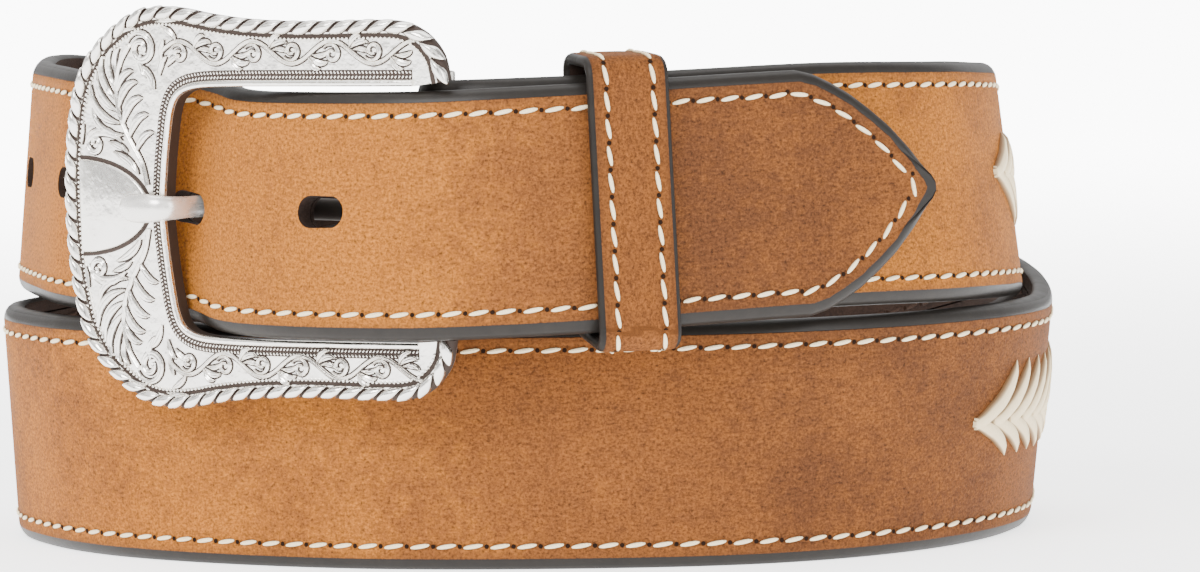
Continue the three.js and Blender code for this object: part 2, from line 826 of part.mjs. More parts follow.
function prongBody() {
  const middle = place(barStation, FOLD_OUTER, STRAP_WIDTH / 2 - 1);
  const rings = PRONG.map(([x, y, wide, deep], i) => {
    const [ax, ay] = PRONG[Math.max(i - 1, 0)];
    const [bx, by] = PRONG[Math.min(i + 1, PRONG.length - 1)];
    const l = Math.hypot(bx - ax, by - ay);
    const normal = new THREE.Vector3(-(by - ay) / l, (bx - ax) / l, 0);
    const z = middle.z + (PRONG_Z - middle.z) * Math.min(i / 5, 1);
    const ring = [];
    for (let k = 0; k < 10; k++) {
      const a = k * 36 * DEG;
      ring.push(
        new THREE.Vector3(x, y, z)
          .addScaledVector(Z, wide * Math.sin(a))
          .addScaledVector(normal, deep * Math.cos(a)),
      );
    }
    return ring;
  });
  const eye = [];
  for (let i = 0; i < 14; i++) {
    const a = (i / 14) * 2 * Math.PI;
    const out = barStation.flat
      .clone()
      .multiplyScalar(Math.cos(a))
      .addScaledVector(barStation.deep, Math.sin(a));
    eye.push(
      [[EYE_HOLE, -2.5], [EYE_OUTER, -2.1], [EYE_OUTER, 2.1], [EYE_HOLE, 2.5]].map(([r, h]) =>
        middle
          .clone()
          .addScaledVector(out, r)
          .addScaledVector(barStation.rise, h),
      ),
    );
  }
  return ringBody(rings).add(closedLoopBody(eye));
}
addNode('prong', prongBody(), { color: 0xd2d0cb, roughness: 0.25, metalness: 1 });

// One arm of a chevron of lace pointing toward the buckle, from the neck that
// joins it to the last one, out to its tip and back: along, height
const CHEVRON = [
  [0.7, 0.6],
  [6.2, 2.9],
  [12.4, 8.0],
  [14.2, 9.3],
  [14.9, 8.0],
  [10.4, 3.2],
  [5.2, 0.6],
];

// Lacing: chevrons of flat lace side by side, joined at their points.
function lacingBody([from, apex, upper, lower]) {
  const count = CHEVRON.length;
  const points = [];
  for (let i = 0; i < LACE_COUNT; i++) {
    for (const out of [0, LACE_THICK]) {
      for (const [sign, [long, high]] of [[1, upper], [-1, lower]]) {
        for (const [x, h] of CHEVRON) {
          const st = station(from + i * LACE_PITCH + x * long);
          const level = STRAP_WIDTH / 2 + apex + h * high * sign;
          points.push(...place(st, -LACE_LIFT - out, level).toArray());
        }
      }
    }
  }
  // corner k of the chevron, on the upper or lower arm, at the back or front
  const at = (i, k, low, front) => ((i * 2 + front) * 2 + low) * count + k;
  const last = count - 1;
  const faces = [];
  const quad = (a, b, c, d) => faces.push(a, b, c, a, c, d);
  for (let i = 0; i < LACE_COUNT; i++) {
    for (const low of [0, 1]) {
      for (const front of [0, 1]) {
        const c = CHEVRON.map((_, k) => at(i, k, low, front));
        const cells = [[0, 1, 5, 6], [1, 2, 4, 5], [2, 3, 4]].map((cell) => cell.map((k) => c[k]));
        for (const cell of cells) {
          if (low !== front) cell.reverse();
          if (cell.length === 4) quad(...cell);
          else faces.push(...cell);
        }
      }
      for (let k = 0; k < last; k++) {
        const side = [at(i, k, low, 0), at(i, k, low, 1), at(i, k + 1, low, 1), at(i, k + 1, low, 0)];
        quad(...(low ? side.reverse() : side));
      }
    }
    const joined = i < LACE_COUNT - 1;
    for (const front of [0, 1]) {
      const cell = [
        at(i, 0, 0, front),
        at(i, last, 0, front),
        at(i, last, 1, front),
        at(i, 0, 1, front),
      ];
      quad(...(front ? cell.slice().reverse() : cell));
      if (joined) {
        const neck = [
          at(i, last, 0, front),
          at(i + 1, 0, 0, front),
          at(i + 1, 0, 1, front),
          at(i, last, 1, front),
        ];
        quad(...(front ? neck.slice().reverse() : neck));
      }
    }
    if (joined) {
      quad(at(i, last, 0, 0), at(i, last, 0, 1), at(i + 1, 0, 0, 1), at(i + 1, 0, 0, 0));
      quad(at(i + 1, 0, 1, 0), at(i + 1, 0, 1, 1), at(i, last, 1, 1), at(i, last, 1, 0));
    }
  }
  const end = LACE_COUNT - 1;
  quad(at(0, 0, 1, 0), at(0, 0, 1, 1), at(0, 0, 0, 1), at(0, 0, 0, 0));
  quad(at(end, last, 0, 0), at(end, last, 0, 1), at(end, last, 1, 1), at(end, last, 1, 0));
  return solid(points, faces);
}
addNode('lacing_upper', lacingBody(LACE_UPPER), { color: 0xefe6d6, roughness: 0.7, metalness: 0 });
addNode('lacing_lower', lacingBody(LACE_LOWER), { color: 0xefe6d6, roughness: 0.7, metalness: 0 });

export default group;
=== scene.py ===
from math import cos, hypot, pi, radians, sin, tan, tau

import bmesh
import bpy
import numpy as np
from mathutils import Matrix, Vector
from mathutils.geometry import interpolate_bezier


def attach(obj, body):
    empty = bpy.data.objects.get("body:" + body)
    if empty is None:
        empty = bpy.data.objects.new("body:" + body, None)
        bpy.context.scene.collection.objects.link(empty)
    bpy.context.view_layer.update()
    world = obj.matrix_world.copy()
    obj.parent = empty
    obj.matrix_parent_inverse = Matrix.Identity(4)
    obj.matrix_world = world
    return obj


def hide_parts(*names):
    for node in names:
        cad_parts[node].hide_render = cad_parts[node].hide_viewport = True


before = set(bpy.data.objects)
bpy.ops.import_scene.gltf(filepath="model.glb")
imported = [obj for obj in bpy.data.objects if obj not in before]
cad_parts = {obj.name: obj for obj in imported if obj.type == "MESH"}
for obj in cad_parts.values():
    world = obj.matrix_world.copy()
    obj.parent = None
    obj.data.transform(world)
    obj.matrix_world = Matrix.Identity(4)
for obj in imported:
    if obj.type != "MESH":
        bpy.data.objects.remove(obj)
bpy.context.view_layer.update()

# The belt is drawn in millimetres, as a belt maker works, and each piece is
# brought to metres as it is laid in place. MIDDLE is the middle of its outline.
MM = 0.001
MIDDLE = (-11.8, 57.35, 0.0)
ROOM = bpy.context.scene.collection


# Table, room and camera: a pale matt board glowing with painted light, dim by
# the belt and bright behind it, in a white room, two large soft lamps in front
# and one above, and a long lens a metre off.
class Signal:
    """A node's output, on which Python's arithmetic adds Math nodes."""

    def __init__(self, nodes, socket):
        self.nodes = nodes
        self.socket = socket

    def maths(self, operation, *values):
        return self.nodes.node("ShaderNodeMath", {"operation": operation}, dict(enumerate(values)))

    def __add__(self, other):
        return self.maths("ADD", self, other)

    def __radd__(self, other):
        return self.maths("ADD", other, self)

    def __sub__(self, other):
        return self.maths("SUBTRACT", self, other)

    def __rsub__(self, other):
        return self.maths("SUBTRACT", other, self)

    def __mul__(self, other):
        return self.maths("MULTIPLY", self, other)

    def __rmul__(self, other):
        return self.maths("MULTIPLY", other, self)


class Nodes:
    """A node tree being wired. Every new node comes from node()."""

    def __init__(self, tree):
        self.tree = tree

    def node(self, kind, settings, sockets, output=0):
        """A new node with its settings and inputs, as the signal it gives."""
        node = self.tree.nodes.new(kind)
        for key, value in settings.items():
            if key == "stops":
                ramp = node.color_ramp.elements
                ramp[1].position, ramp[1].color = value[-1]
                ramp[0].position, ramp[0].color = value[0]
                for place, colour in value[1:-1]:
                    ramp.new(place).color = colour
            else:
                setattr(node, key, value)
        for key, value in sockets.items():
            self.feed(self.find(node.inputs, key), value)
        return Signal(self, self.find(node.outputs, output))

    @staticmethod
    def find(sockets, key):
        if isinstance(key, int):
            return sockets[key]
        return next(s for s in sockets if key in (s.identifier, s.name))

    def feed(self, socket, value):
        if isinstance(value, Signal):
            self.tree.links.new(value.socket, socket)
        else:
            socket.default_value = value

    def on_object(self):
        """Where a point lies on the piece, in metres."""
        return self.node("ShaderNodeTexCoord", {}, {}, "Object")

    def kept(self, name, output="Fac"):
        """What the mesh keeps under a name at each of its points."""
        return self.node("ShaderNodeAttribute", {"attribute_name": name}, {}, output)

    def drawn(self):
        """Where a point lay in the flat drawing, in millimetres."""
        return self.kept("drawn", "Vector")

    def axis(self, where, letter):
        """One of a place's three measures: X, Y or Z."""
        return self.node("ShaderNodeSeparateXYZ", {}, {"Vector": where}, letter)

    def drawn_out(self, where, *scale):
        """Places scaled along each axis, to draw a pattern out."""
        return self.node("ShaderNodeMapping", {}, {"Vector": where, "Scale": scale})

    def noise(self, where, scale, detail=3.0, rough=0.5):
        values = {"Vector": where, "Scale": scale, "Detail": detail, "Roughness": rough}
        return self.node("ShaderNodeTexNoise", {}, values)

    def fade(self, value, low, high):
        """0 at low, 1 at high, smooth between."""
        values = {"Value": value, "From Min": low, "From Max": high}
        return self.node("ShaderNodeMapRange", {"interpolation_type": "SMOOTHSTEP"}, values)

    def mix(self, factor, first, second, blend="MIX"):
        """The first colour at 0, the second at 1."""
        settings = {"data_type": "RGBA", "blend_type": blend}
        values = {"Factor_Float": factor, "A_Color": first, "B_Color": second}
        return self.node("ShaderNodeMix", settings, values, "Result_Color")


class Look(Nodes):
    """A material being mixed, whose shader is fed by set()."""

    def __init__(self, name, **constants):
        self.material = bpy.data.materials.new(name)
        self.material.use_nodes = True
        super().__init__(self.material.node_tree)
        self.shader = self.tree.nodes["Principled BSDF"]
        self.set(**constants)

    def set(self, **signals):
        sockets = {s.name.lower().replace(" ", "_"): s for s in self.shader.inputs}
        for key, value in signals.items():
            self.feed(sockets[key.lower()], value)

    def bump(self, height, depth, strength=1.0):
        values = {"Height": height, "Distance": depth, "Strength": strength}
        self.set(Normal=self.node("ShaderNodeBump", {}, values))


def tone(red, green, blue):
    """A colour as a printer gives it, 0 to 255, made linear."""
    return tuple(((c / 255 + 0.055) / 1.055) ** 2.4 for c in (red, green, blue)) + (1.0,)


BOARD_HALF = 12.0
BOARD_WHITE = (0.95, 0.95, 0.95, 1.0)
BOARD_GLOW = 9.0
GLOW_NEAR = (0.25, 0.25, 0.25, 1.0)
GLOW_FAR = (1.0, 1.0, 1.0, 1.0)
GLOW_FROM = 0.1
GLOW_TO = 1.6

# Painted light: the board's emission glows dim by the belt, as painted shade round it, and bright far
# behind it.
board = Look("pale_board", roughness=0.75, base_color=BOARD_WHITE, emission_strength=BOARD_GLOW)
depth = board.axis(board.on_object(), "Y")
board.set(emission_color=board.mix(board.fade(depth, GLOW_FROM, GLOW_TO), GLOW_NEAR, GLOW_FAR))
bm = bmesh.new()
bmesh.ops.create_grid(bm, x_segments=1, y_segments=1, size=BOARD_HALF)
floor_mesh = bpy.data.meshes.new("floor")
bm.to_mesh(floor_mesh)
bm.free()
floor = bpy.data.objects.new("floor", floor_mesh)
floor_mesh.materials.append(board.material)
ROOM.objects.link(floor)

# The room's white walls show bright, but light the belt in soft, uneven panels.
ROOM_DIM = 0.3
ROOM_BRIGHT = 2.4
ROOM_SEEN = 9.0
PANEL_SCALE = 1.8
PANEL_FROM = 0.38
PANEL_TO = 0.62

world = bpy.data.worlds.new("white_room")
world.use_nodes = True
backdrop = world.node_tree.nodes["Background"]
backdrop.inputs["Color"].default_value = (1.0, 1.0, 1.0, 1.0)
room = Nodes(world.node_tree)
seen = room.node("ShaderNodeLightPath", {}, {}, "Is Camera Ray")
panels = room.noise(room.node("ShaderNodeTexCoord", {}, {}, "Generated"), PANEL_SCALE, 2.0)
glow = room.node("ShaderNodeMapRange", {}, {
    "Value": panels, "From Min": PANEL_FROM, "From Max": PANEL_TO,
    "To Min": ROOM_DIM, "To Max": ROOM_BRIGHT,
})
level = room.node("ShaderNodeMapRange", {}, {"Value": seen, "To Min": glow, "To Max": ROOM_SEEN})
room.feed(backdrop.inputs["Strength"], level)
bpy.context.scene.world = world

# name, place, width and height in metres, power in watts
LAMPS = [
    ("key_lamp", (-0.75, -1.05, 0.95), 0.8, 0.6, 22.0),
    ("fill_lamp", (0.95, -0.85, 0.55), 0.5, 0.8, 5.0),
    ("top_lamp", (0.0, 0.25, 1.25), 1.2, 1.0, 12.0),
]
LIT_POINT = Vector((0.0, 0.0, 0.04))
for name, lamp_at, wide, high, power in LAMPS:
    lamp = bpy.data.lights.new(name, "AREA")
    lamp.shape = "RECTANGLE"
    lamp.size = wide
    lamp.size_y = high
    lamp.energy = power
    holder = bpy.data.objects.new(name, lamp)
    turn = (LIT_POINT - Vector(lamp_at)).to_track_quat("-Z", "Y").to_matrix().to_4x4()
    holder.matrix_world = Matrix.Translation(lamp_at) @ turn
    ROOM.objects.link(holder)

CAMERA_AT = (0.0118, -1.05735, 0.10404)
CAMERA_DOWN = radians(3.445)
CAMERA_ROLL = radians(0.919)
lens = bpy.data.cameras.new("camera")
lens.sensor_width = 36.0
lens.lens = 195.12
lens.clip_start = 0.01
camera = bpy.data.objects.new("camera", lens)
turn = Matrix.Rotation(pi / 2 - CAMERA_DOWN, 4, "X") @ Matrix.Rotation(-CAMERA_ROLL, 4, "Z")
camera.matrix_world = Matrix.Translation(CAMERA_AT) @ turn
ROOM.objects.link(camera)
bpy.context.scene.camera = camera


# Strap: one length of nubuck leather 38 mm wide, skived and folded back round
# the heel bar, cut to a point at the other end, punched with five long holes.
# Its edges are rounded and painted, and it lies coiled twice round the waist.
STRAP_WIDTH = 38.1
STRAP_HALF = STRAP_WIDTH / 2
STRAP_THICK = 3.8
FOLD_OUTER = 4.2
FOLD_LENGTH = 16.0
FOLD_TURN = pi * FOLD_OUTER
RECESS = 0.9
RECESS_EDGE = 2.4
LINED_FROM = 51.0
LINED_TO_TIP = 34.0

# Distance between two of the strap's sections, and near the tip
STEP = 1.6
TIP_STEP = 0.7

# The strap's outer face at its lower edge, from the bar to the tip. Lean is in
# degrees, the top inward.
#   x, y, z, lean
COURSE = [
    (-24.3, -11.5, 38.3, 5.8), (-13.0, -12.8, 38.6, 5.8), (-3.3, -12.0, 38.8, 5.8),
    (8.0, -8.6, 39.1, 5.8), (19.3, -3.7, 39.4, 6.0), (30.4, 1.8, 39.7, 6.3),
    (38.6, 6.8, 39.8, 6.6), (45.4, 11.9, 39.7, 6.7), (51.6, 17.6, 39.5, 6.7),
    (56.9, 23.9, 39.3, 6.7), (61.3, 31.1, 39.1, 6.7), (65.9, 43.0, 38.6, 6.7),
    (68.7, 55.0, 38.1, 6.7), (69.4, 67.0, 37.0, 6.5), (68.4, 80.0, 35.1, 6.0),
    (65.2, 92.0, 33.0, 5.0), (58.6, 103.6, 30.5, 4.0), (49.2, 112.2, 27.8, 3.0),
    (37.5, 118.8, 25.0, 2.0), (23.0, 123.2, 22.4, 1.0), (7.0, 125.6, 19.8, 0.5),
    (-10.0, 126.6, 17.0, 0.0), (-27.0, 126.2, 13.9, 0.0), (-43.5, 124.2, 10.4, 0.0),
    (-59.0, 120.6, 6.9, 0.0), (-72.5, 115.0, 3.8, -0.5), (-84.0, 107.0, 1.5, -1.5),
    (-92.5, 95.8, 0.1, -2.5), (-96.8, 82.5, -0.2, -3.0), (-95.5, 65.0, -0.2, -3.0),
    (-91.5, 53.1, -0.2, -3.0), (-85.9, 41.8, -0.2, -3.0), (-78.5, 31.6, -0.2, -1.5),
    (-69.5, 23.1, -0.2, 1.5), (-59.3, 15.8, -0.2, 2.0), (-48.3, 9.6, -0.2, 1.0),
    (-36.6, 4.8, -0.2, 0.0), (-24.3, 2.0, -0.2, 0.0), (-11.8, 0.5, -0.2, 0.0),
    (0.7, 0.0, -0.2, 0.0), (13.3, 0.6, -0.2, 0.0), (25.6, 3.3, -0.2, -1.0),
    (36.9, 8.8, -0.2, -2.0), (46.8, 16.5, -0.2, -3.5), (55.1, 25.9, -0.2, -4.5),
    (61.7, 36.6, -0.2, -5.5), (66.4, 48.0, -0.2, -6.2), (69.3, 59.5, -0.1, -6.5),
    (70.5, 71.0, 1.0, -6.5), (70.2, 82.0, 2.5, -6.0), (68.3, 93.0, 4.2, -5.0),
    (63.2, 104.6, 6.7, -4.0), (54.5, 114.6, 9.8, -3.0), (43.0, 122.3, 13.0, -2.0),
    (29.0, 127.6, 16.3, -1.0), (13.0, 130.9, 19.4, -0.5), (-4.0, 132.3, 22.4, 0.0),
    (-21.0, 132.4, 25.4, 0.0), (-38.0, 131.3, 28.6, 0.5), (-54.5, 129.0, 31.9, 1.0),
    (-69.5, 125.0, 35.4, 2.0), (-82.0, 118.8, 38.6, 3.0), (-91.4, 110.2, 40.3, 4.0),
    (-96.4, 99.0, 40.6, 4.8), (-97.3, 86.0, 39.9, 5.1), (-95.3, 73.0, 39.8, 5.2),
    (-92.3, 60.0, 39.7, 5.3), (-88.3, 47.1, 39.4, 5.5), (-82.3, 36.6, 39.0, 5.6),
    (-76.8, 29.6, 38.9, 5.7), (-71.6, 23.9, 38.9, 5.8), (-66.7, 19.0, 38.8, 5.9),
    (-63.1, 13.9, 38.1, 6.0), (-60.4, 8.8, 37.3, 6.0), (-56.6, 4.0, 36.9, 6.0),
    (-49.3, -3.6, 36.8, 6.0), (-38.8, -10.7, 36.8, 6.0), (-27.6, -15.4, 36.9, 6.0),
    (-15.1, -17.6, 37.3, 5.9), (-2.4, -16.3, 37.7, 5.9), (9.4, -12.9, 38.1, 5.8),
    (21.1, -7.9, 38.5, 5.8), (32.3, -2.4, 38.8, 5.7), (43.4, 3.3, 38.9, 5.7),
    (53.4, 8.6, 39.0, 5.7),
]

# The skived end: distance from the bar, thickness there
SKIVE = [(-30.0, 2.0), (0.0, 2.2), (5.0, 2.6), (9.0, 3.2), (13.0, 3.6), (18.0, 3.8)]

# The folded end: distance behind the bar, outer face behind the strap's face
FOLD = [(0.0, 8.4), (2.0, 8.2), (5.0, 7.5), (9.0, 6.7), (13.0, 6.4), (16.0, 6.3)]

# The pointed tip: distance from the very end, half width there
TIP = [
    (0.0, 0.9), (0.7, 2.4), (3.9, 6.5), (7.2, 10.0), (10.5, 12.7), (13.8, 15.1),
    (17.0, 16.9), (20.0, 18.3), (23.0, 19.05),
]

# Half of the strap's section: height above the face, distance from the edge.
# The recess for the lining is on its inner side, from RECESS_EDGE inward.
SECTION = [
    (0.0, 19.05), (0.0, 13.0), (0.0, 8.0), (0.0, 4.9), (-0.18, 3.9), (0.0, 3.0),
    (0.0, 2.25), (-0.05, 1.85), (-0.17, 1.4), (-0.42, 0.85), (-0.8, 0.4), (-1.3, 0.1),
    (-1.9, 0.0), (-2.5, 0.0), (-3.05, 0.13), (-3.52, 0.55), (-3.75, 1.2), (-3.8, 1.9),
    (-3.8, 2.4), (-2.9, 2.45), (-2.9, 3.9), (-2.9, 10.0), (-2.9, 19.05),
]

# Punched holes: distance from the tip, height above the middle
HOLES = [(104.9, 0.5), (138.8, -1.5), (173.6, 0.8), (204.9, 0.9), (236.6, 0.5)]
HOLE_LONG = 8.8
HOLE_HIGH = 5.0

# The slot in the fold, through which the prong's eye passes
SLOT_FROM = -FOLD_TURN - 7.0
SLOT_TO = 7.0
SLOT_HIGH = 7.5
SLOT_LOWERED = 1.0


def column(table, x):
    """A table's second column where its first is x, straight between rows."""
    rows = np.array(table, float)
    return np.interp(x, rows[:, 0], rows[:, 1])


def run_along(points):
    """How far each point of a line lies from its start, along it."""
    steps = np.linalg.norm(np.diff(np.asarray(points, float), axis=0), axis=1)
    return np.concatenate([[0.0], np.cumsum(steps)])


def smooth_course():
    """Points on a centripetal curve through the course, with lean at each."""
    steps = 24
    points = [Vector(row[:3]) for row in COURSE]
    points = [2 * points[0] - points[1], *points, 2 * points[-1] - points[-2]]
    line = []
    for p, q, r, s in zip(points, points[1:], points[2:], points[3:]):
        a, b, c = [max((v - u).length, 0.001) ** 0.5 for u, v in ((p, q), (q, r), (r, s))]
        leave = ((q - p) / a - (r - p) / (a + b) + (r - q) / b) * b
        arrive = ((r - q) / b - (s - q) / (b + c) + (s - r) / c) * b
        line += interpolate_bezier(q, q + leave / 3, r - arrive / 3, r, steps + 1)[:-1]
    line.append(points[-2])
    lean = np.interp(np.arange(len(line)) / steps, range(len(COURSE)), [row[3] for row in COURSE])
    return np.array(line), np.radians(lean)


LINE, LEAN = smooth_course()
RUN = run_along(LINE)
TRAVEL = np.gradient(LINE, axis=0)
LENGTH = RUN[-1]


def station(s):
    """At distance s along the strap: face point at the lower edge, and the
    directions along, up the width and out of the face."""
    at = np.stack([np.interp(s, RUN, LINE[:, k]) for k in range(3)], -1)
    along = np.stack([np.interp(s, RUN, TRAVEL[:, k]) for k in range(2)] + [0.0 * s], -1)
    along /= np.linalg.norm(along, axis=-1, keepdims=True)
    lean = np.interp(s, RUN, LEAN)[..., None]
    inward = np.stack([-along[..., 1], along[..., 0], 0.0 * s], -1)
    up = np.array([0.0, 0.0, 1.0])
    rise = inward * np.sin(lean) + up * np.cos(lean)
    face = up * np.sin(lean) - inward * np.cos(lean)
    return at, along, rise, face


def to_place(points):
    """Millimetres in the drawing to metres round the middle."""
    return (np.asarray(points) - MIDDLE) * MM


def wrap(points):
    """Lays points drawn flat (along, height, out of the face) on the coiled
    strap. Before zero they go round the bar, then back behind the strap."""
    s, h, out = np.asarray(points, float).T
    out = out * column(SKIVE, s) / STRAP_THICK
    at, along, rise, face = station(np.maximum(s, 0.0))
    placed = at + rise * h[:, None] + face * out[:, None]
    bar_at, bar_along, bar_rise, bar_face = station(np.zeros(1))
    centre = bar_at - bar_face * FOLD_OUTER
    angle = np.clip(-s, 0.0, FOLD_TURN)[:, None] / FOLD_OUTER
    turned = bar_face * np.cos(angle) - bar_along * np.sin(angle)
    round_bar = centre + turned * (FOLD_OUTER + out[:, None]) + bar_rise * h[:, None]
    back = -s - FOLD_TURN
    at, along, rise, face = station(np.maximum(back, 0.0))
    behind = at + rise * h[:, None] - face * (column(FOLD, back) + out)[:, None]
    placed = np.where((s < 0)[:, None], round_bar, placed)
    placed = np.where((s < -FOLD_TURN)[:, None], behind, placed)
    placed[:, 2] = np.maximum(placed[:, 2], 0.0)
    return to_place(placed)


def tapered(s, edge):
    """Distance from the middle line of what lies so far in from the edge. At
    the very tip the rows draw together without crossing."""
    half = column(TIP, LENGTH - s)
    return max(half - edge, half * 0.85 * (1 - edge / STRAP_HALF), 0.0)


def tip_slope(to_tip):
    """How fast the half width grows with the distance from the tip."""
    return (column(TIP, to_tip + 0.3) - column(TIP, to_tip - 0.3)) / 0.6


def thicken(bm, faces, by):
    """Extrudes flat faces upward, or downward for less than 0."""
    grown = bmesh.ops.extrude_face_region(bm, geom=faces)["geom"]
    moved = [g for g in grown if isinstance(g, bmesh.types.BMVert)]
    bmesh.ops.translate(bm, verts=moved, vec=(0.0, 0.0, by))
    return moved


def closed_ring(bm, points):
    """Vertices at the points, and the edges that join them in a ring."""
    verts = [bm.verts.new(point) for point in points]
    return verts, [bm.edges.new(pair) for pair in zip(verts, verts[1:] + verts[:1])]


def next_ring(bm, edges):
    """Extrudes a ring of edges, and returns the new ring in the same order."""
    grown = bmesh.ops.extrude_edge_only(bm, edges=edges)["geom"]
    bm.verts.ensure_lookup_table()
    return bm.verts[-len(edges):], [g for g in grown if isinstance(g, bmesh.types.BMEdge)]


def points_of(mesh):
    """The mesh's points as rows of x, y and z."""
    points = np.empty(len(mesh.vertices) * 3)
    mesh.vertices.foreach_get("co", points)
    return points.reshape(-1, 3)


def flat_mesh(name, bm):
    """The finished bmesh as a mesh, still drawn flat in millimetres."""
    mesh = bpy.data.meshes.new(name)
    bm.to_mesh(mesh)
    bm.free()
    return mesh


def make_piece(name, mesh, fit, looks, sharp=40.0, turned_over=False):
    """Keeps the mesh's drawn places as an attribute, and lays it with fit."""
    drawn = points_of(mesh)
    mesh.attributes.new("drawn", "FLOAT_VECTOR", "POINT").data.foreach_set("vector", drawn.ravel())
    mesh.vertices.foreach_set("co", fit(drawn).ravel())
    chosen = np.empty(len(mesh.polygons), np.int32)
    mesh.polygons.foreach_get("material_index", chosen)
    mesh.materials.clear()
    for look in looks:
        mesh.materials.append(look.material)
    mesh.polygons.foreach_set("material_index", chosen)
    if turned_over:
        mesh.flip_normals()
    mesh.shade_smooth()
    mesh.set_sharp_from_angle(angle=radians(sharp))
    mesh.update()
    piece = bpy.data.objects.new(name, mesh)
    ROOM.objects.link(piece)
    return piece


# Painted shade along the face, darker where less light falls on it and darkest
# just past the keeper: distance from the bar, shade from 0 to 1
PAINTED_SHADE_ALONG = [
    (0, 0.2), (100, 0.2), (200, 0.4), (430, 0.25), (465, 0.22), (482, 0.45), (520, 0.65), (552, 0.82),
    (585, 0.7), (616, 0.5), (700, 0.35), (860, 0.15), (960, 0.02), (975, 0.12), (997, 0.5), (1025, 0.95),
    (1040, 0.8), (1056, 0.75), (1065, 0.55),
]

# The nearly black paint on every edge
PAINT_DARK = tone(23, 20, 18)
PAINT_LIGHT = tone(38, 34, 30)


def leather_face(name, light, mid, dark, painted_shade, edge_shade, painted_to):
    """Brushed, oiled leather: clouds of colour, a speckled nap, pores and a
    faint drag along its length, darker where shade is painted along it, with
    the edge paint carried a little way over its rounded edges."""
    look = Look(name, specular_ior_level=0.1, coat_roughness=0.34)
    drawn = look.drawn()
    # Shade painted along the piece, from its stops where given, else one even level
    shade_along = 0.4
    if painted_shade:
        stops = [(s / LENGTH, (k, k, k, 1.0)) for s, k in painted_shade]
        share = look.axis(drawn, "X") * (1 / LENGTH)
        shade_along = look.node("ShaderNodeValToRGB", {"stops": stops}, {"Fac": share}, "Color")
    clouds = look.noise(drawn, 0.05, 4.0, 0.55)
    patches = look.noise(drawn, 0.42, 5.0, 0.65)
    drag = look.noise(look.drawn_out(drawn, 0.35, 2.6, 1.0), 1.0)
    nap = look.noise(drawn, 2.4, 5.0, 0.75)
    creases = look.noise(look.drawn_out(drawn, 0.9, 1.3, 1.0), 1.3, 3.0, 0.6)
    pores = look.node(
        "ShaderNodeTexVoronoi", {"feature": "F1"}, {"Vector": drawn, "Scale": 2.4}, "Distance",
    )
    shade = (clouds - 0.5) * 0.9 + (patches - 0.5) * 0.8 + (drag - 0.5) * 0.25 + shade_along
    colour = look.mix(look.fade(shade, 0.0, 0.55), light, mid)
    colour = look.mix(look.fade(shade, 0.45, 1.0), colour, dark)
    speckle = (nap - 0.5) * 3.4 + (creases - 0.5) * 1.7 + look.fade(pores, 0.02, 0.2) * 0.25 + 0.78
    colour = look.mix(1.0, colour, speckle, "MULTIPLY")
    rim = look.kept("rim")
    colour = look.mix((1 - look.fade(rim, painted_to, painted_to + 1.4)) * edge_shade, colour, dark)
    paint = 1 - look.fade(rim + (nap - 0.5) * 0.12, painted_to - 0.1, painted_to + 0.06)
    paint_tone = look.mix(patches, PAINT_DARK, PAINT_LIGHT)
    look.set(Base_Color=look.mix(paint, colour, paint_tone), Coat_Weight=paint * 0.25)
    look.set(Roughness=0.68 + nap * 0.2 - patches * 0.08 - paint * 0.25)
    grain = nap * 0.5 + creases * 1.1 + patches * 0.5 + look.fade(pores, 0.0, 0.35) * 0.35
    look.bump(grain * (1 - paint * 0.8), 0.00016, 0.9)
    return look


tan_leather = leather_face(
    "tan_leather", tone(151, 92, 32), tone(114, 68, 31), tone(85, 51, 28), PAINTED_SHADE_ALONG,
    edge_shade=0.3, painted_to=1.95,
)

edge_paint = Look("edge_paint", specular_ior_level=0.15)
grain = edge_paint.on_object()
blotch = edge_paint.noise(grain, 260.0, 4.0)
edge_paint.set(Base_Color=edge_paint.mix(blotch, PAINT_DARK, PAINT_LIGHT))
edge_paint.set(Roughness=0.36 + blotch * 0.22)
edge_paint.bump(edge_paint.noise(grain, 900.0, 3.0), 0.00008, 0.5)

dark_suede = Look("dark_suede", roughness=0.95, specular_ior_level=0.2)
grain = dark_suede.on_object()
nap = dark_suede.noise(grain, 2600.0, 5.0, 0.7)
brushed = dark_suede.noise(grain, 140.0, 4.0, 0.6)
suede_mix = dark_suede.fade(nap * 0.5 + brushed * 0.5, 0.3, 0.7)
dark_suede.set(Base_Color=dark_suede.mix(suede_mix, tone(28, 19, 15), tone(54, 39, 31)))
dark_suede.bump(nap, 0.00025, 0.8)


# The looks of a leather piece after that of its face, the mark that a punch
# leaves on the walls it cuts, and what is painted or left bare
PAINTED = 1
BARE = 2
PUNCHED = 3
PAINTED_RIM = 0.7
BARE_BELOW = -2.0
PUNCH_FROM = -9.0
PUNCH_LONG = 12.0


def strap_stops(first, last, step):
    """Where the strap's section is repeated, from first to last."""
    return np.linspace(first, last, round((last - first) / step) + 1)


def hole_cutter(outlines):
    """Round-ended punches. Each outline is: middle along the strap, height of
    the middle, length, height."""
    bm = bmesh.new()
    for s, h, long, high in outlines:
        ring = bmesh.ops.create_circle(bm, cap_ends=True, segments=24, radius=high / 2)["verts"]
        for v in ring:
            v.co.x += (long - high) / 2 * (1 if v.co.x > 0 else -1)
        bmesh.ops.translate(bm, verts=ring, vec=(s, h, PUNCH_FROM))
        thicken(bm, list({f for v in ring for f in v.link_faces}), PUNCH_LONG)
    bmesh.ops.recalc_face_normals(bm, faces=bm.faces[:])
    for face in bm.faces:
        face.material_index = PUNCHED
    cutter = bpy.data.objects.new("punch", flat_mesh("punch", bm))
    ROOM.objects.link(cutter)
    return cutter


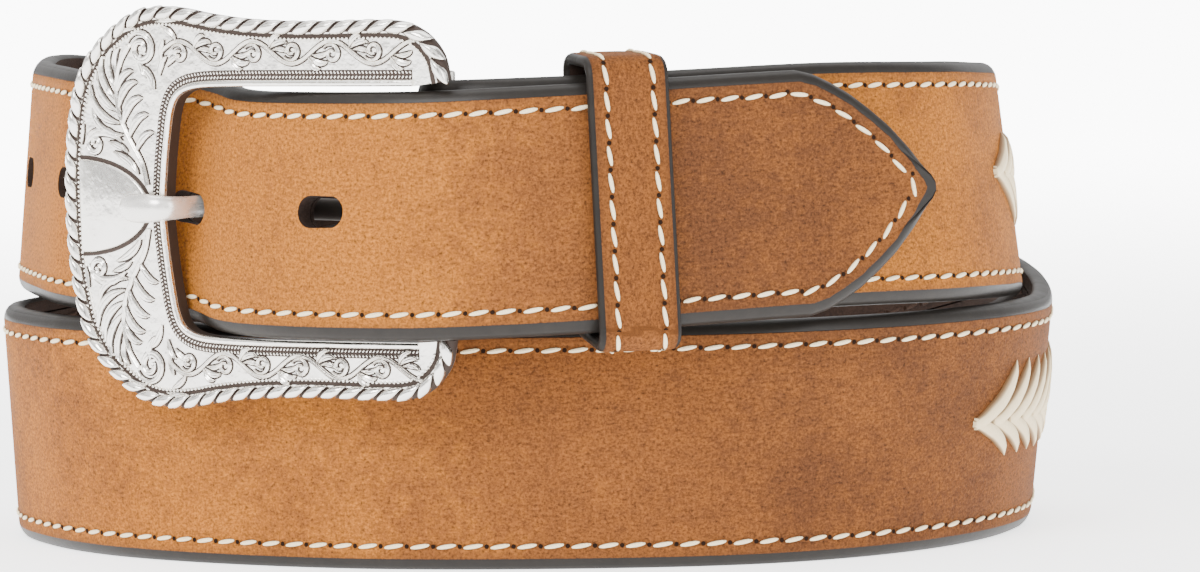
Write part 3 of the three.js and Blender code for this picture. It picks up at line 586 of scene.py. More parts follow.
def punched(mesh, cutter):
    """The mesh with the cutter's shapes cut through it."""
    blank = bpy.data.objects.new("blank", mesh)
    ROOM.objects.link(blank)
    for _ in range(PUNCHED + 1):
        mesh.materials.append(None)
    cutting = blank.modifiers.new("punch", "BOOLEAN")
    cutting.object = cutter
    cutting.solver = "EXACT"
    done = bpy.data.meshes.new_from_object(blank.evaluated_get(bpy.context.evaluated_depsgraph_get()))
    bpy.data.objects.remove(blank)
    return done


# Height of the strap's middle line over its lower edge
middle = STRAP_HALF

punches = [(LENGTH - back, middle + up, HOLE_LONG, HOLE_HIGH) for back, up in HOLES]
slot = ((SLOT_FROM + SLOT_TO) / 2, middle - SLOT_LOWERED, SLOT_TO - SLOT_FROM, SLOT_HIGH)
punch = hole_cutter([*punches, slot])

tip_long = TIP[-1][0]
stops = np.concatenate([
    strap_stops(-FOLD_TURN - FOLD_LENGTH, LENGTH - tip_long - 1.0, STEP),
    strap_stops(LENGTH - tip_long, LENGTH, TIP_STEP),
])
half_section = [(out, edge, -1) for out, edge in SECTION]
whole_section = half_section + [(out, edge, 1) for out, edge in reversed(SECTION[1:-1])]


def section_place(s, out, edge, side):
    """A point of the section at s, with the recess only where it is lined."""
    lined = LINED_FROM < s < LENGTH - LINED_TO_TIP
    if out == -STRAP_THICK + RECESS and edge > RECESS_EDGE and not lined:
        out = -STRAP_THICK
    return Vector((s, middle + side * tapered(s, edge), out))


bm = bmesh.new()
ring, edges = closed_ring(bm, [section_place(stops[0], *row) for row in whole_section])
bmesh.ops.contextual_create(bm, geom=edges)
for s in stops[1:]:
    ring, edges = next_ring(bm, edges)
    for v, row in zip(ring, whole_section):
        v.co = section_place(s, *row)
bmesh.ops.contextual_create(bm, geom=edges)
bmesh.ops.recalc_face_normals(bm, faces=bm.faces[:])
strap_mesh = punched(flat_mesh("strap_leather", bm), punch)

# Each point's distance from the nearest edge tells the looks where to paint.
drawn = points_of(strap_mesh)
to_tip = LENGTH - drawn[:, 0]
rims = (column(TIP, to_tip) - abs(drawn[:, 1] - middle)) / np.hypot(1.0, tip_slope(to_tip))
rims = np.minimum(rims, to_tip + 0.3)
strap_mesh.attributes.new("rim", "FLOAT", "POINT").data.foreach_set("value", rims)
for face in strap_mesh.polygons:
    if face.material_index == PUNCHED:
        face.material_index = BARE
    elif max(rims[i] for i in face.vertices) < PAINTED_RIM:
        face.material_index = PAINTED
    elif face.center.z < BARE_BELOW:
        face.material_index = BARE
strap = make_piece("strap_leather", strap_mesh, wrap, [tan_leather, edge_paint, dark_suede])
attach(strap, "root")
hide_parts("strap")


# Lining: a strip of dark suede let in flush between the rims of the inner
# face and stitched with it, so it follows the strap and shares its holes.
LINING_EDGE = 2.7
LINING_THICK = 0.6
LINING_PLAY = 0.3

bm = bmesh.new()
lining_stops = strap_stops(LINED_FROM + LINING_PLAY, LENGTH - LINED_TO_TIP - LINING_PLAY, STEP)
bmesh.ops.create_grid(bm, x_segments=len(lining_stops) - 1, y_segments=8, size=0.5)
for v in bm.verts:
    v.co.x = lining_stops[round((v.co.x + 0.5) * (len(lining_stops) - 1))]
    v.co.y = middle + v.co.y * 2 * (STRAP_HALF - LINING_EDGE)
    v.co.z = -STRAP_THICK + LINING_THICK
thicken(bm, bm.faces[:], -LINING_THICK)
bmesh.ops.recalc_face_normals(bm, faces=bm.faces[:])
lining_mesh = punched(flat_mesh("suede_lining", bm), punch)
bpy.data.objects.remove(punch)
for face in lining_mesh.polygons:
    face.material_index = 0
lining = make_piece("suede_lining", lining_mesh, wrap, [dark_suede])
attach(lining, "root")
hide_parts("strap_lining")


# Stitching: waxed ivory thread, six stitches to the inch, in awl holes along
# both edges and round the tip, locked on the lining by a dark brown thread.
STITCH_PITCH = 4.2
STITCH_LONG = 3.2
STITCH_WIDE = 0.76
STITCH_HIGH = 0.36
STITCH_PLUMP = 0.88
STITCH_SLANT = 9.0
SEAM_EDGE = 3.9
SEAM_FROM = 3.0
LOCKED_FROM = 10.0
AWL_RADIUS = 0.38
AWL_SIDES = 7
AWL_LIFT = 0.035


def thread_look(name, light, dark, rim_shade_tone):
    """Waxed, twisted thread, with painted shade where it meets the leather and dips into it."""
    look = Look(name, roughness=0.75, specular_ior_level=0.2)
    drawn = look.drawn()
    plies = {"Vector": drawn, "Scale": 1.4, "Distortion": 0.6}
    twist = look.node("ShaderNodeTexWave", {"bands_direction": "DIAGONAL"}, plies, "Fac")
    fuzz = look.noise(drawn, 3.0)
    painted_rim_shade = look.kept("patina")
    colour = look.mix(twist * 0.35 + fuzz * 0.3, light, dark)
    look.set(Base_Color=look.mix(painted_rim_shade * 0.9, colour, rim_shade_tone))
    look.bump(twist, 0.00008, 0.6)
    return look


ivory_thread = thread_look("ivory_thread", tone(255, 240, 205), tone(236, 206, 150), tone(112, 74, 40))
brown_thread = thread_look("brown_thread", tone(58, 40, 30), tone(38, 25, 18), tone(24, 16, 12))

# Each awl hole is a flat dark disc laid on the face: painted shade for the inside of the hole.
awl_hole = Look("awl_hole", roughness=0.95, specular_ior_level=0.1)
depth = awl_hole.noise(awl_hole.on_object(), 3000.0)
awl_hole.set(Base_Color=awl_hole.mix(depth, tone(20, 12, 8), tone(42, 26, 16)))


def stitch_template():
    """One stitch at the origin and the awl hole that follows it, a flat dark disc of painted shade."""
    bm = bmesh.new()
    painted_shade = bm.verts.layers.float.new("patina")
    thread = bmesh.ops.create_uvsphere(bm, u_segments=8, v_segments=6, radius=1.0)["verts"]
    bmesh.ops.rotate(bm, verts=thread, matrix=Matrix.Rotation(pi / 2, 3, "Y"))
    for v in thread:
        # Painted shade at the thread's base and ends, where it meets the leather
        at_rim = v.co.z < 0.05 or abs(v.co.x) > 0.95
        v[painted_shade] = 0.9 if at_rim else 0.0
        plump = abs(v.co.x) ** STITCH_PLUMP * (1 if v.co.x > 0 else -1)
        v.co = (plump * STITCH_LONG / 2, v.co.y * STITCH_WIDE / 2, v.co.z * STITCH_HIGH)
    bmesh.ops.rotate(bm, verts=thread, matrix=Matrix.Rotation(radians(STITCH_SLANT), 3, "Z"))
    hole = bmesh.ops.create_circle(bm, cap_ends=True, segments=AWL_SIDES, radius=AWL_RADIUS)["verts"]
    bmesh.ops.translate(bm, verts=hole, vec=(STITCH_PITCH / 2, 0.0, AWL_LIFT))
    for face in bm.faces:
        face.material_index = 1 if len(face.verts) == AWL_SIDES else 0
    return flat_mesh("stitch", bm)


def place_copies(bm, template, places):
    """Adds a copy of the template mesh at each matrix, with the darkening at
    each of its points: tarnish on the silver, painted shade on thread and lace.
    """
    patina = bm.verts.layers.float["patina"]
    darkness = [row.value for row in template.attributes["patina"].data]
    for matrix in places:
        bm.from_mesh(template)
        bm.verts.ensure_lookup_table()
        copied = bm.verts[-len(darkness):]
        bmesh.ops.transform(bm, matrix=matrix, verts=copied)
        for v, amount in zip(copied, darkness):
            v[patina] = amount


def repeat(template, places):
    """A new bmesh of such copies."""
    bm = bmesh.new()
    bm.verts.layers.float.new("patina")
    place_copies(bm, template, places)
    return bm


def along_path(path, pitch):
    """Evenly spaced points with headings along a flat path."""
    path = np.array(path, float)
    run = run_along(path)
    count = round(run[-1] / pitch)
    stops = (np.arange(count) + 0.5) * run[-1] / count
    at = np.stack([np.interp(stops, run, path[:, k]) for k in range(2)], -1)
    step = np.gradient(path, axis=0)
    heading = [np.interp(stops, run, step[:, k]) for k in range(2)]
    return at, np.arctan2(heading[1], heading[0])


def seam_path(edge):
    """The seam along the lower edge, round the tip and back along the upper."""
    lower = [(SEAM_FROM, edge - STRAP_HALF), (LENGTH - tip_long - 3.0, edge - STRAP_HALF)]
    for to_tip in np.linspace(tip_long + 1.0, 0.8, 60):
        slope = tip_slope(to_tip)
        lean = hypot(1.0, slope)
        half = column(TIP, to_tip) - edge / lean
        if half > 0.3:
            lower.append((LENGTH - to_tip - edge * slope / lean, -half))
    upper = [(s, -h) for s, h in reversed(lower)]
    return [(s, middle + h) for s, h in lower + upper]


stitch = stitch_template()
at, heading = along_path(seam_path(SEAM_EDGE), STITCH_PITCH)
outside, inside = [], []
for (s, h), angle in zip(at, heading):
    turn = Matrix.Rotation(angle, 4, "Z")
    outside.append(Matrix.Translation((s, h, 0.0)) @ turn)
    if s > LOCKED_FROM:
        turn = turn @ Matrix.Rotation(pi, 4, "X")
        inside.append(Matrix.Translation((s, h, -STRAP_THICK)) @ turn)
seam_mesh = flat_mesh("strap_stitching", repeat(stitch, outside))
seam = make_piece("strap_stitching", seam_mesh, wrap, [ivory_thread, awl_hole])
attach(seam, "root")
back_mesh = flat_mesh("lining_stitching", repeat(stitch, inside))
back_seam = make_piece("lining_stitching", back_mesh, wrap, [brown_thread, awl_hole])
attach(back_seam, "root")


# Keeper: a loop of thinner leather round both lengths of strap, its ends
# butted and stitched behind, with a row of stitches near each painted edge.
KEEPER_WIDTH = 13.0
KEEPER_HALF = KEEPER_WIDTH / 2
KEEPER_THICK = 1.9
KEEPER_GAP = 0.4
KEEPER_BACK_GAP = 1.0
KEEPER_LOW = 36.6
KEEPER_HIGH = 78.1
KEEPER_FROM_TIP = 53.1
KEEPER_S = 26.5
KEEPER_SLOPE = 0.005
KEEPER_MIDDLE_Z = 57.0
KEEPER_CORNER = 3.2
KEEPER_LEAN = radians(5.9)

# How far the loop's lower back and upper front corners are drawn in
BACK_RAISED = 1.4
FRONT_LOWERED = 0.4

tip_at, tip_along, _, _ = [v[0] for v in station(np.array([LENGTH - KEEPER_FROM_TIP]))]
under_at = station(np.array([KEEPER_S]))[0][0]
tip_inward = np.array([-tip_along[1], tip_along[0], 0.0])
keeper_front = -KEEPER_GAP - KEEPER_THICK
keeper_back = float(np.dot(under_at - tip_at, tip_inward)) + STRAP_THICK
keeper_back += KEEPER_BACK_GAP + KEEPER_THICK
keeper_low = KEEPER_LOW - KEEPER_THICK
keeper_high = KEEPER_HIGH + KEEPER_THICK


def keeper_loop():
    """The loop's outer face seen along the strap: inward, height, and the
    directions out of it, closed, in small steps round its corners."""
    r = KEEPER_CORNER
    corners = [
        (keeper_front + r, keeper_low + r, 180),
        (keeper_back - r, keeper_low + r + BACK_RAISED, 270),
        (keeper_back - r, keeper_high - r, 0),
        (keeper_front + r, keeper_high - r - FRONT_LOWERED, 90),
    ]
    points = []
    for y, z, start in corners:
        for a in np.radians(np.linspace(start, start + 90, 9)):
            points.append((y + r * cos(a), z + r * sin(a), cos(a), sin(a)))
    points.append(points[0])
    points = np.array(points)
    return points, run_along(points[:, :2])


LOOP, LOOP_RUN = keeper_loop()
LOOP_LENGTH = LOOP_RUN[-1]


def round_strap(points):
    """Lays points drawn flat (along the loop, across it, out) on the keeper."""
    run, w, out = np.asarray(points, float).T
    y, z, ny, nz = [np.interp(run, LOOP_RUN, LOOP[:, k]) for k in range(4)]
    scale = np.hypot(ny, nz)
    y = y + ny / scale * out
    z = z + nz / scale * out
    y = y + np.tan(KEEPER_LEAN) * (z - tip_at[2])
    along = w - (z - KEEPER_MIDDLE_Z) * KEEPER_SLOPE
    placed = tip_at + y[:, None] * tip_inward + along[:, None] * tip_along
    placed[:, 2] = z + w * KEEPER_SLOPE
    return to_place(placed)


keeper_leather = leather_face(
    "keeper_leather", tone(122, 72, 30), tone(102, 60, 28), tone(74, 43, 23), [],
    edge_shade=0.45, painted_to=0.75,
)

# Half of the keeper's section: height above the face, distance from the edge
KEEPER_SECTION = [
    (0.06, 6.5), (0.05, 4.6), (0.0, 3.4), (-0.12, 2.75), (0.0, 2.1), (0.0, 1.2), (-0.06, 0.75),
    (-0.24, 0.32), (-0.55, 0.06), (-0.95, 0.0), (-1.35, 0.06), (-1.66, 0.32), (-1.84, 0.75),
    (-1.9, 1.3), (-1.9, 6.5),
]
KEEPER_STEPS = 150
KEEPER_PAINTED = 0.8
KEEPER_BARE_BELOW = -1.7

bm = bmesh.new()
section = [(0.0, edge - KEEPER_HALF, out) for out, edge in KEEPER_SECTION]
section += [(0.0, KEEPER_HALF - edge, out) for out, edge in reversed(KEEPER_SECTION[1:-1])]
ring, edges = closed_ring(bm, section)
for _ in range(KEEPER_STEPS):
    ring, edges = next_ring(bm, edges)
    bmesh.ops.translate(bm, verts=ring, vec=(LOOP_LENGTH / KEEPER_STEPS, 0.0, 0.0))
bmesh.ops.recalc_face_normals(bm, faces=bm.faces[:])
keeper_mesh = flat_mesh("keeper_leather", bm)
rims = KEEPER_HALF - abs(points_of(keeper_mesh)[:, 1])
keeper_mesh.attributes.new("rim", "FLOAT", "POINT").data.foreach_set("value", rims)
for face in keeper_mesh.polygons:
    if max(rims[i] for i in face.vertices) < KEEPER_PAINTED:
        face.material_index = PAINTED
    elif face.center.z < KEEPER_BARE_BELOW:
        face.material_index = BARE
keeper_looks = [keeper_leather, edge_paint, dark_suede]
keeper = make_piece("keeper_leather", keeper_mesh, round_strap, keeper_looks)

# Once the loop is laid, its butted ends are joined.
bm = bmesh.new()
bm.from_mesh(keeper.data)
bmesh.ops.remove_doubles(bm, verts=bm.verts[:], dist=0.00001)
bmesh.ops.recalc_face_normals(bm, faces=bm.faces[:])
bm.to_mesh(keeper.data)
bm.free()
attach(keeper, "root")
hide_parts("keeper")

KEEPER_SEAM = 2.75
KEEPER_PITCH = 4.15
KEEPER_LIFT = 0.05
places = []
for across in (KEEPER_SEAM - KEEPER_HALF, KEEPER_HALF - KEEPER_SEAM):
    at, _ = along_path([(0.0, across), (LOOP_LENGTH, across)], KEEPER_PITCH)
    places += [Matrix.Translation((s, w, KEEPER_LIFT)) for s, w in at]
loop_seam_mesh = flat_mesh("keeper_stitching", repeat(stitch, places))
loop_seam = make_piece("keeper_stitching", loop_seam_mesh, round_strap, [ivory_thread, awl_hole])
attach(loop_seam, "root")


# Buckle frame: one antiqued silver casting bent to the waist. A plate open
# toward the bar, with a twisted rope round its outer edge, a milled border
# round its window, leaf scrolls in low relief and a plain half-oval cartouche.
FRAME_RADIUS = 195.7
FRAME_RIGHT = Vector((-22.0, -12.5))
FRAME_LEFT = Vector((-83.7, 27.8))
FRAME_Z = 56.35
FRAME_LEAN = radians(-1.0)
FRAME_LONG = 74.0
PLATE_THICK = 2.5
PLATE_UNDER_ROPE = 0.5
PLATE_DIRT = 0.32
PLATE_CUTS = 1.5
WINDOW_DROP = 0.6
ROPE_RADIUS = 1.15
ROPE_PITCH = 3.3
ROPE_SLANT = 40.0

# Outer edge, from the end of the upper arm to the middle of the left side:
# distance from the bar end, height over the middle
FRAME_EDGE = [
    (0.4, 19.9), (1.4, 24.0), (4.0, 27.2), (7.4, 28.9), (12.0, 29.3), (20.0, 29.2),
    (28.0, 29.2), (36.0, 29.6), (43.0, 30.4), (48.5, 31.3), (53.5, 31.5), (58.0, 30.7),
    (63.5, 27.9), (68.3, 24.0), (71.4, 19.5), (73.2, 13.5), (74.2, 6.8), (74.5, 0.0),
]

# Window edge, in the same way
WINDOW_EDGE = [
    (6.4, 19.6), (18.0, 19.6), (30.0, 19.6), (41.0, 19.5), (46.6, 19.1), (49.4, 18.0),
    (50.7, 16.0), (51.6, 12.0), (52.5, 6.0), (53.0, 0.0),
]

chord = FRAME_LEFT - FRAME_RIGHT
FRAME_HALF = np.arcsin(chord.length / 2 / FRAME_RADIUS)
CHORD_WAY = chord.normalized()
FACE_WAY = Vector((-CHORD_WAY.y, CHORD_WAY.x))
if FACE_WAY.y > 0:
    FACE_WAY.negate()
FRAME_CENTRE = FRAME_RIGHT + chord / 2 - FACE_WAY * FRAME_RADIUS * cos(FRAME_HALF)


def bend(points):
    """Lays points drawn flat (p from the bar end, q from the middle line, out
    of the face) on the bent plate."""
    p, q, out = np.asarray(points, float).T
    a = p / FRAME_RADIUS - FRAME_HALF
    r = FRAME_RADIUS + out * cos(FRAME_LEAN) - q * sin(FRAME_LEAN)
    x = FRAME_CENTRE.x + r * (FACE_WAY.x * np.cos(a) + CHORD_WAY.x * np.sin(a))
    y = FRAME_CENTRE.y + r * (FACE_WAY.y * np.cos(a) + CHORD_WAY.y * np.sin(a))
    z = FRAME_Z + q * cos(FRAME_LEAN) + out * sin(FRAME_LEAN)
    return to_place(np.stack([x, y, z], -1))


def smooth_line(points, step=1.0):
    """Even points on a smooth curve through the given ones."""
    knots = [Vector((*point, 0.0)) for point in points]
    knots = [2 * knots[0] - knots[1], *knots, 2 * knots[-1] - knots[-2]]
    line = []
    for a, b, c, d in zip(knots, knots[1:], knots[2:], knots[3:]):
        reach = (c - b).length
        leave = (c - a).normalized() * reach / 3
        arrive = (d - b).normalized() * reach / 3
        line += [v[:2] for v in interpolate_bezier(b, b + leave, c - arrive, c, 12)[:-1]]
    line.append(knots[-2][:2])
    line = np.array(line)
    run = run_along(line)
    stops = np.linspace(0.0, run[-1], max(2, round(run[-1] / step)) + 1)
    return np.stack([np.interp(stops, run, line[:, k]) for k in range(2)], -1)


def way_of(line):
    """The direction of a flat line at each of its points."""
    way = np.gradient(np.asarray(line, float), axis=0)
    return way / np.linalg.norm(way, axis=1, keepdims=True)


def beside(line, offset):
    """The line moved sideways, to its right for a positive offset."""
    way = way_of(line)
    return line + np.stack([way[:, 1], -way[:, 0]], -1) * offset


def both_sides(edge):
    """The edge from the upper arm round to the lower arm."""
    return list(edge) + [(p, -q) for p, q in reversed(edge[:-1])]


outer_line = smooth_line(both_sides(FRAME_EDGE), 0.8)
window_line = smooth_line(both_sides(WINDOW_EDGE), 0.8) - (0.0, WINDOW_DROP)

cast = bmesh.new()
# Each point keeps a darkening: tarnish in the silver's hollows, and painted shade on the window walls and
# at the rope strands' ends.
patina = cast.verts.layers.float.new("patina")


def ribbon(bm, line, widths, crown, base=-0.3, lift=None):
    """A raised strip along a line in the flat drawing, of one half width or
    of one at each point. Each row of the crown is: across in half widths,
    across in mm, height, darkening (tarnish on the silver, painted shade on
    the lace)."""
    patina = bm.verts.layers.float["patina"]
    line = np.asarray(line, float)
    widths = np.broadcast_to(widths, len(line))
    rows = len(crown) - 1
    cells = len(line) - 1
    verts = bmesh.ops.create_grid(bm, x_segments=cells, y_segments=rows, size=0.5)["verts"]
    faces = list({f for v in verts for f in v.link_faces})
    way = way_of(line)
    shape = {}
    for v in verts:
        i = round((v.co.x + 0.5) * cells)
        share, more, height, tarnish_and_shade = crown[round((v.co.y + 0.5) * rows)]
        off = share * widths[i] + more
        v.co = (line[i][0] - way[i][1] * off, line[i][1] + way[i][0] * off, base)
        v[patina] = tarnish_and_shade
        shape[v.co.to_tuple(4)] = height * (1.0 if lift is None else lift[i])
    for v in thicken(bm, faces, 0.0):
        v.co.z = shape[v.co.to_tuple(4)]


def ease(bm, edges, offset):
    """Rounds the edges off."""
    bmesh.ops.bevel(
        bm, geom=edges, offset=offset, segments=3, profile=0.5, affect="EDGES", material=-1,
    )


def flat_sheet(outline, thick, top, darkened=0.0, soften=0.0):
    """A flat plate of the casting from its outline, its top edges eased."""
    verts = [cast.verts.new((p, q, top)) for p, q in outline]
    for v in verts:
        v[patina] = darkened
    face = cast.faces.new(verts)
    thicken(cast, [face], -thick)
    if soften:
        ease(cast, list(face.edges), soften)


# The plate, cut across so that it can bend, its window walls painted dark
# from just under the face, as painted shade inside the window.
WALL_BELOW = -0.3
WALL_TO_P = 53.4
WALL_TO_Q = 20.0
plate_edge = beside(outer_line, PLATE_UNDER_ROPE)
flat_sheet([*plate_edge, *window_line[::-1]], PLATE_THICK, 0.0, darkened=PLATE_DIRT)
for p in np.arange(PLATE_CUTS, FRAME_LONG, PLATE_CUTS):
    cast.verts.ensure_lookup_table()
    bmesh.ops.bisect_plane(
        cast, geom=cast.verts[:] + cast.edges[:] + cast.faces[:], dist=0.0001,
        plane_co=(p, 0.0, 0.0), plane_no=(1.0, 0.0, 0.0),
    )
for v in cast.verts:
    on_wall = v.co.x < WALL_TO_P and abs(v.co.y + WINDOW_DROP) < WALL_TO_Q
    if v.co.z < WALL_BELOW and on_wall:
        v[patina] = 1.0


def edging(line, offset, half, crown, base=-0.3):
    """A strip of one width beside a line, and the line of its own middle."""
    middle_line = beside(line, offset)
    ribbon(cast, middle_line, half, crown, base)
    return middle_line


# Bright rounded rim round the window, and the dark band that the mill leaves.
RIM_WIDE = 1.05
MILLED_WIDE = 1.5
RIM_CROWN = [
    (-1, 0, 0.0, 0.5), (-0.8, 0, 0.3, 0), (-0.3, 0, 0.42, 0), (0.4, 0, 0.38, 0),
    (0.85, 0, 0.2, 0), (1, 0, 0, 1),
]
BAND_CROWN = [(-1, 0, 0.0, 1), (-0.9, 0, 0.04, 1), (0.9, 0, 0.04, 1), (1, 0, 0.0, 1)]
edging(window_line, -RIM_WIDE / 2, RIM_WIDE / 2, RIM_CROWN)
band_line = edging(window_line, -RIM_WIDE - MILLED_WIDE / 2, MILLED_WIDE / 2, BAND_CROWN)


def stamp(template, line, pitch, slant=0.0, lift=0.0):
    """Copies of a small template along a line, turned with it."""
    at, heading = along_path(line, pitch)
    place_copies(cast, template, [
        Matrix.Translation((p, q, lift)) @ Matrix.Rotation(angle + radians(slant), 4, "Z")
        for (p, q), angle in zip(at, heading)
    ])


def small_bead(long, wide, high):
    """A plain bead with few faces, as it is repeated hundreds of times."""
    bm = bmesh.new()
    bm.verts.layers.float.new("patina")
    bmesh.ops.create_uvsphere(bm, u_segments=6, v_segments=4, radius=1.0)
    bmesh.ops.scale(bm, verts=bm.verts[:], vec=(long / 2, wide / 2, high))
    return flat_mesh("bead", bm)


# The mill's cuts, in two slanting rows that meet like a herringbone
MILL_ROW = 0.36
MILL_SLANT = 55.0
MILL_PITCH = 0.62
mill_cut = small_bead(0.66, 0.34, 0.26)
for side in (-1, 1):
    stamp(mill_cut, beside(band_line, MILL_ROW * side), MILL_PITCH, -MILL_SLANT * side, 0.02)

# Rope: plump strands laid slantwise, close together, over a dark groove, with
# a row of fine beads inside it.
STRAND_HALF = 1.43
STRAND_LIFT = 0.05
STRAND_SHADED_END = 0.9
PLUMP_ALONG = 0.55
PLUMP_ACROSS = -0.42
GROOVE_IN = 0.2
GROOVE_HALF = 0.42
CORE_HALF = 1.0
CORE_BASE = -1.2
GROOVE_CROWN = [(-1, 0, 0.0, 0.6), (-0.7, 0, 0.03, 1), (0.7, 0, 0.03, 1), (1, 0, 0.0, 0.3)]
CORE_CROWN = [(-1, 0, -0.5, 1), (-0.6, 0, 0.3, 1), (0, 0, 0.5, 1), (0.6, 0, 0.3, 1), (1, 0, -0.5, 1)]
BEAD_IN = 0.62
BEAD_PITCH = 0.74
edging(outer_line, 2 * ROPE_RADIUS + GROOVE_IN, GROOVE_HALF, GROOVE_CROWN)
rope_line = edging(outer_line, ROPE_RADIUS, CORE_HALF, CORE_CROWN, CORE_BASE)

# Each strand is dark at its ends: patina in the crevices between strands, and painted shade where they
# meet.
bm = bmesh.new()
darkness = bm.verts.layers.float.new("patina")
bmesh.ops.create_uvsphere(bm, u_segments=14, v_segments=14, radius=1.0)
bmesh.ops.rotate(bm, verts=bm.verts[:], matrix=Matrix.Rotation(pi / 2, 3, "Y"))
for v in bm.verts:
    end_on = abs(v.co.x)
    fill = max(hypot(v.co.y, v.co.z), 0.001) ** PLUMP_ACROSS
    side, high = v.co.y * fill * ROPE_RADIUS, v.co.z * fill * ROPE_RADIUS
    length = end_on ** PLUMP_ALONG * (1 if v.co.x > 0 else -1) * STRAND_HALF
    v[darkness] = 1.0 if end_on > STRAND_SHADED_END else 0.0
    v.co = (length - side / tan(radians(ROPE_SLANT)), side, high)
strand = flat_mesh("strand", bm)
stamp(strand, rope_line, ROPE_PITCH, 0.0, STRAND_LIFT)
bead_line = beside(outer_line, 2 * ROPE_RADIUS + BEAD_IN)
stamp(small_bead(0.6, 0.6, 0.42), bead_line[3:-3], BEAD_PITCH, 0.0, STRAND_LIFT)

# Cartouche: a plain, slightly domed half oval against the rope, with a fine
# dark line round it.
CARTOUCHE_P = 71.2
CARTOUCHE_LONG = 15.0
CARTOUCHE_HALF = 7.4
CARTOUCHE_THICK = 0.8
CARTOUCHE_TOP = 0.55
CARTOUCHE_EASED = 0.45
EDGE_HALF = 0.2
EDGE_CROWN = [
    (-1, -0.2, 0.0, 0.7), (-1, 0, 0.05, 1), (0, 0, 0.05, 1), (1, 0, 0.05, 1), (1, 0.2, 0.0, 0.7),
]
arc = np.radians(np.linspace(90, 270, 33))
oval = [(CARTOUCHE_P + CARTOUCHE_LONG * cos(a), CARTOUCHE_HALF * sin(a)) for a in arc]
flat_sheet(oval, CARTOUCHE_THICK, CARTOUCHE_TOP, soften=CARTOUCHE_EASED)
edging(smooth_line(oval, 0.6), EDGE_HALF, EDGE_HALF, EDGE_CROWN)

# Scrolls and leaves, each a raised strip with a chased vein and a dark
# outline, on the upper and the lower half alike
LEAF_CROWN = [
    (-1, -0.2, 0.0, 0.9), (-1, 0, 0.04, 1), (-0.88, 0, 0.36, 0.1), (-0.35, 0, 0.48, 0),
    (0, 0, 0.38, 0.6), (0.35, 0, 0.48, 0), (0.88, 0, 0.36, 0.1), (1, 0, 0.04, 1), (1, 0.2, 0.0, 0.9),
]
LEAF_SHAPE = [(0.0, 0.2), (0.15, 0.55), (0.4, 1.0), (0.7, 0.9), (0.9, 0.55), (1.0, 0.12)]
SCROLL_SHAPE = [(0.0, 0.35), (0.3, 0.9), (0.6, 0.75), (0.88, 0.6), (0.96, 0.8), (1.0, 0.3)]

# Degrees of turn from one point to the next
LEAF_CURL = 16
SCROLL_CURL = 18


def both_halves(line, widths):
    """A raised strip on the upper half and its mirror image on the lower."""
    for side in (1, -1):
        ribbon(cast, np.multiply(line, (1, side)), widths, LEAF_CROWN)


def tendril(p, q, heading, length, turn, half):
    """A leaf or scroll whose curl tightens toward its tip."""
    steps = max(9, int(abs(turn) / LEAF_CURL))
    line = [(p, q)]
    for i in range(steps):
        angle = radians(heading + turn * ((i + 0.5) / steps) ** 1.5)
        p += cos(angle) * length / steps
        q += sin(angle) * length / steps
        line.append((p, q))
    both_halves(line, half * column(LEAF_SHAPE, np.linspace(0.0, 1.0, steps + 1)))


def volute(p, q, radius, start, turn, half):
    """A spiral round a centre, tightening from its radius."""
    share = np.linspace(0.0, 1.0, int(abs(turn) / SCROLL_CURL) + 1)
    reach = radius * (1 - 0.8 * share ** 0.85)
    angle = np.radians(start + turn * share)
    line = np.stack([p + reach * np.cos(angle), q + reach * np.sin(angle)], -1)
    both_halves(line, half * column(SCROLL_SHAPE, share))


# A curved stem climbs to the corner's volute, with long leaves to both sides:
# start p and q, heading in degrees, length, turn in degrees, half width
CORNER_LEAVES = [
    (61.1, 11.3, -4, 8.8, 92, 0.68), (61.7, 13.1, 8, 9.8, 90, 0.74), (62.1, 15.0, 20, 8.6, 90, 0.74),
    (62.4, 16.9, 34, 8.0, 86, 0.7), (62.4, 18.8, 50, 6.6, 84, 0.66), (62.1, 20.6, 68, 4.8, 80, 0.56),
    (61.4, 10.2, 34, 9.8, -104, 0.8), (58.4, 8.6, 112, 5.2, 70, 0.62), (59.8, 10.8, 108, 6.0, 76, 0.72),
    (61.0, 13.0, 104, 6.4, 80, 0.78), (61.8, 15.6, 102, 6.2, 84, 0.74), (62.0, 18.2, 106, 5.0, 80, 0.64),
    (63.4, 8.6, 196, 6.6, 44, 0.62), (64.4, 10.2, 190, 4.6, 30, 0.5),
    (55.6, 20.3, 40, 4.2, 80, 0.62), (54.2, 18.4, 75, 4.6, -50, 0.62), (53.0, 20.6, 95, 3.6, 60, 0.5),
    (51.6, 22.0, 130, 3.6, 50, 0.5), (52.6, 22.6, 85, 3.8, 40, 0.48), (52.4, 28.3, 200, 3.6, 40, 0.5),
    (53.4, 29.0, 170, 4.4, 20, 0.42), (62.6, 26.6, 150, 5.4, 40, 0.4), (70.4, 9.6, 95, 3.4, 10, 0.3),
]

# centre p and q, radius, first angle and turn in degrees, half width
CORNER_VOLUTES = [(56.8, 24.8, 3.0, 20, 560, 0.7), (67.4, 9.9, 2.2, 130, -520, 0.55)]
CORNER_STEM = [
    (56.3, 3.4), (57.3, 7.0), (59.7, 10.6), (61.7, 14.4), (62.3, 18.4), (61.4, 22.4), (59.4, 25.2),
]
STEM_HALF = 0.4
for row in CORNER_LEAVES:
    tendril(*row)
for row in CORNER_VOLUTES:
    volute(*row)
stem = smooth_line(CORNER_STEM, 0.7)
both_halves(stem, STEM_HALF)

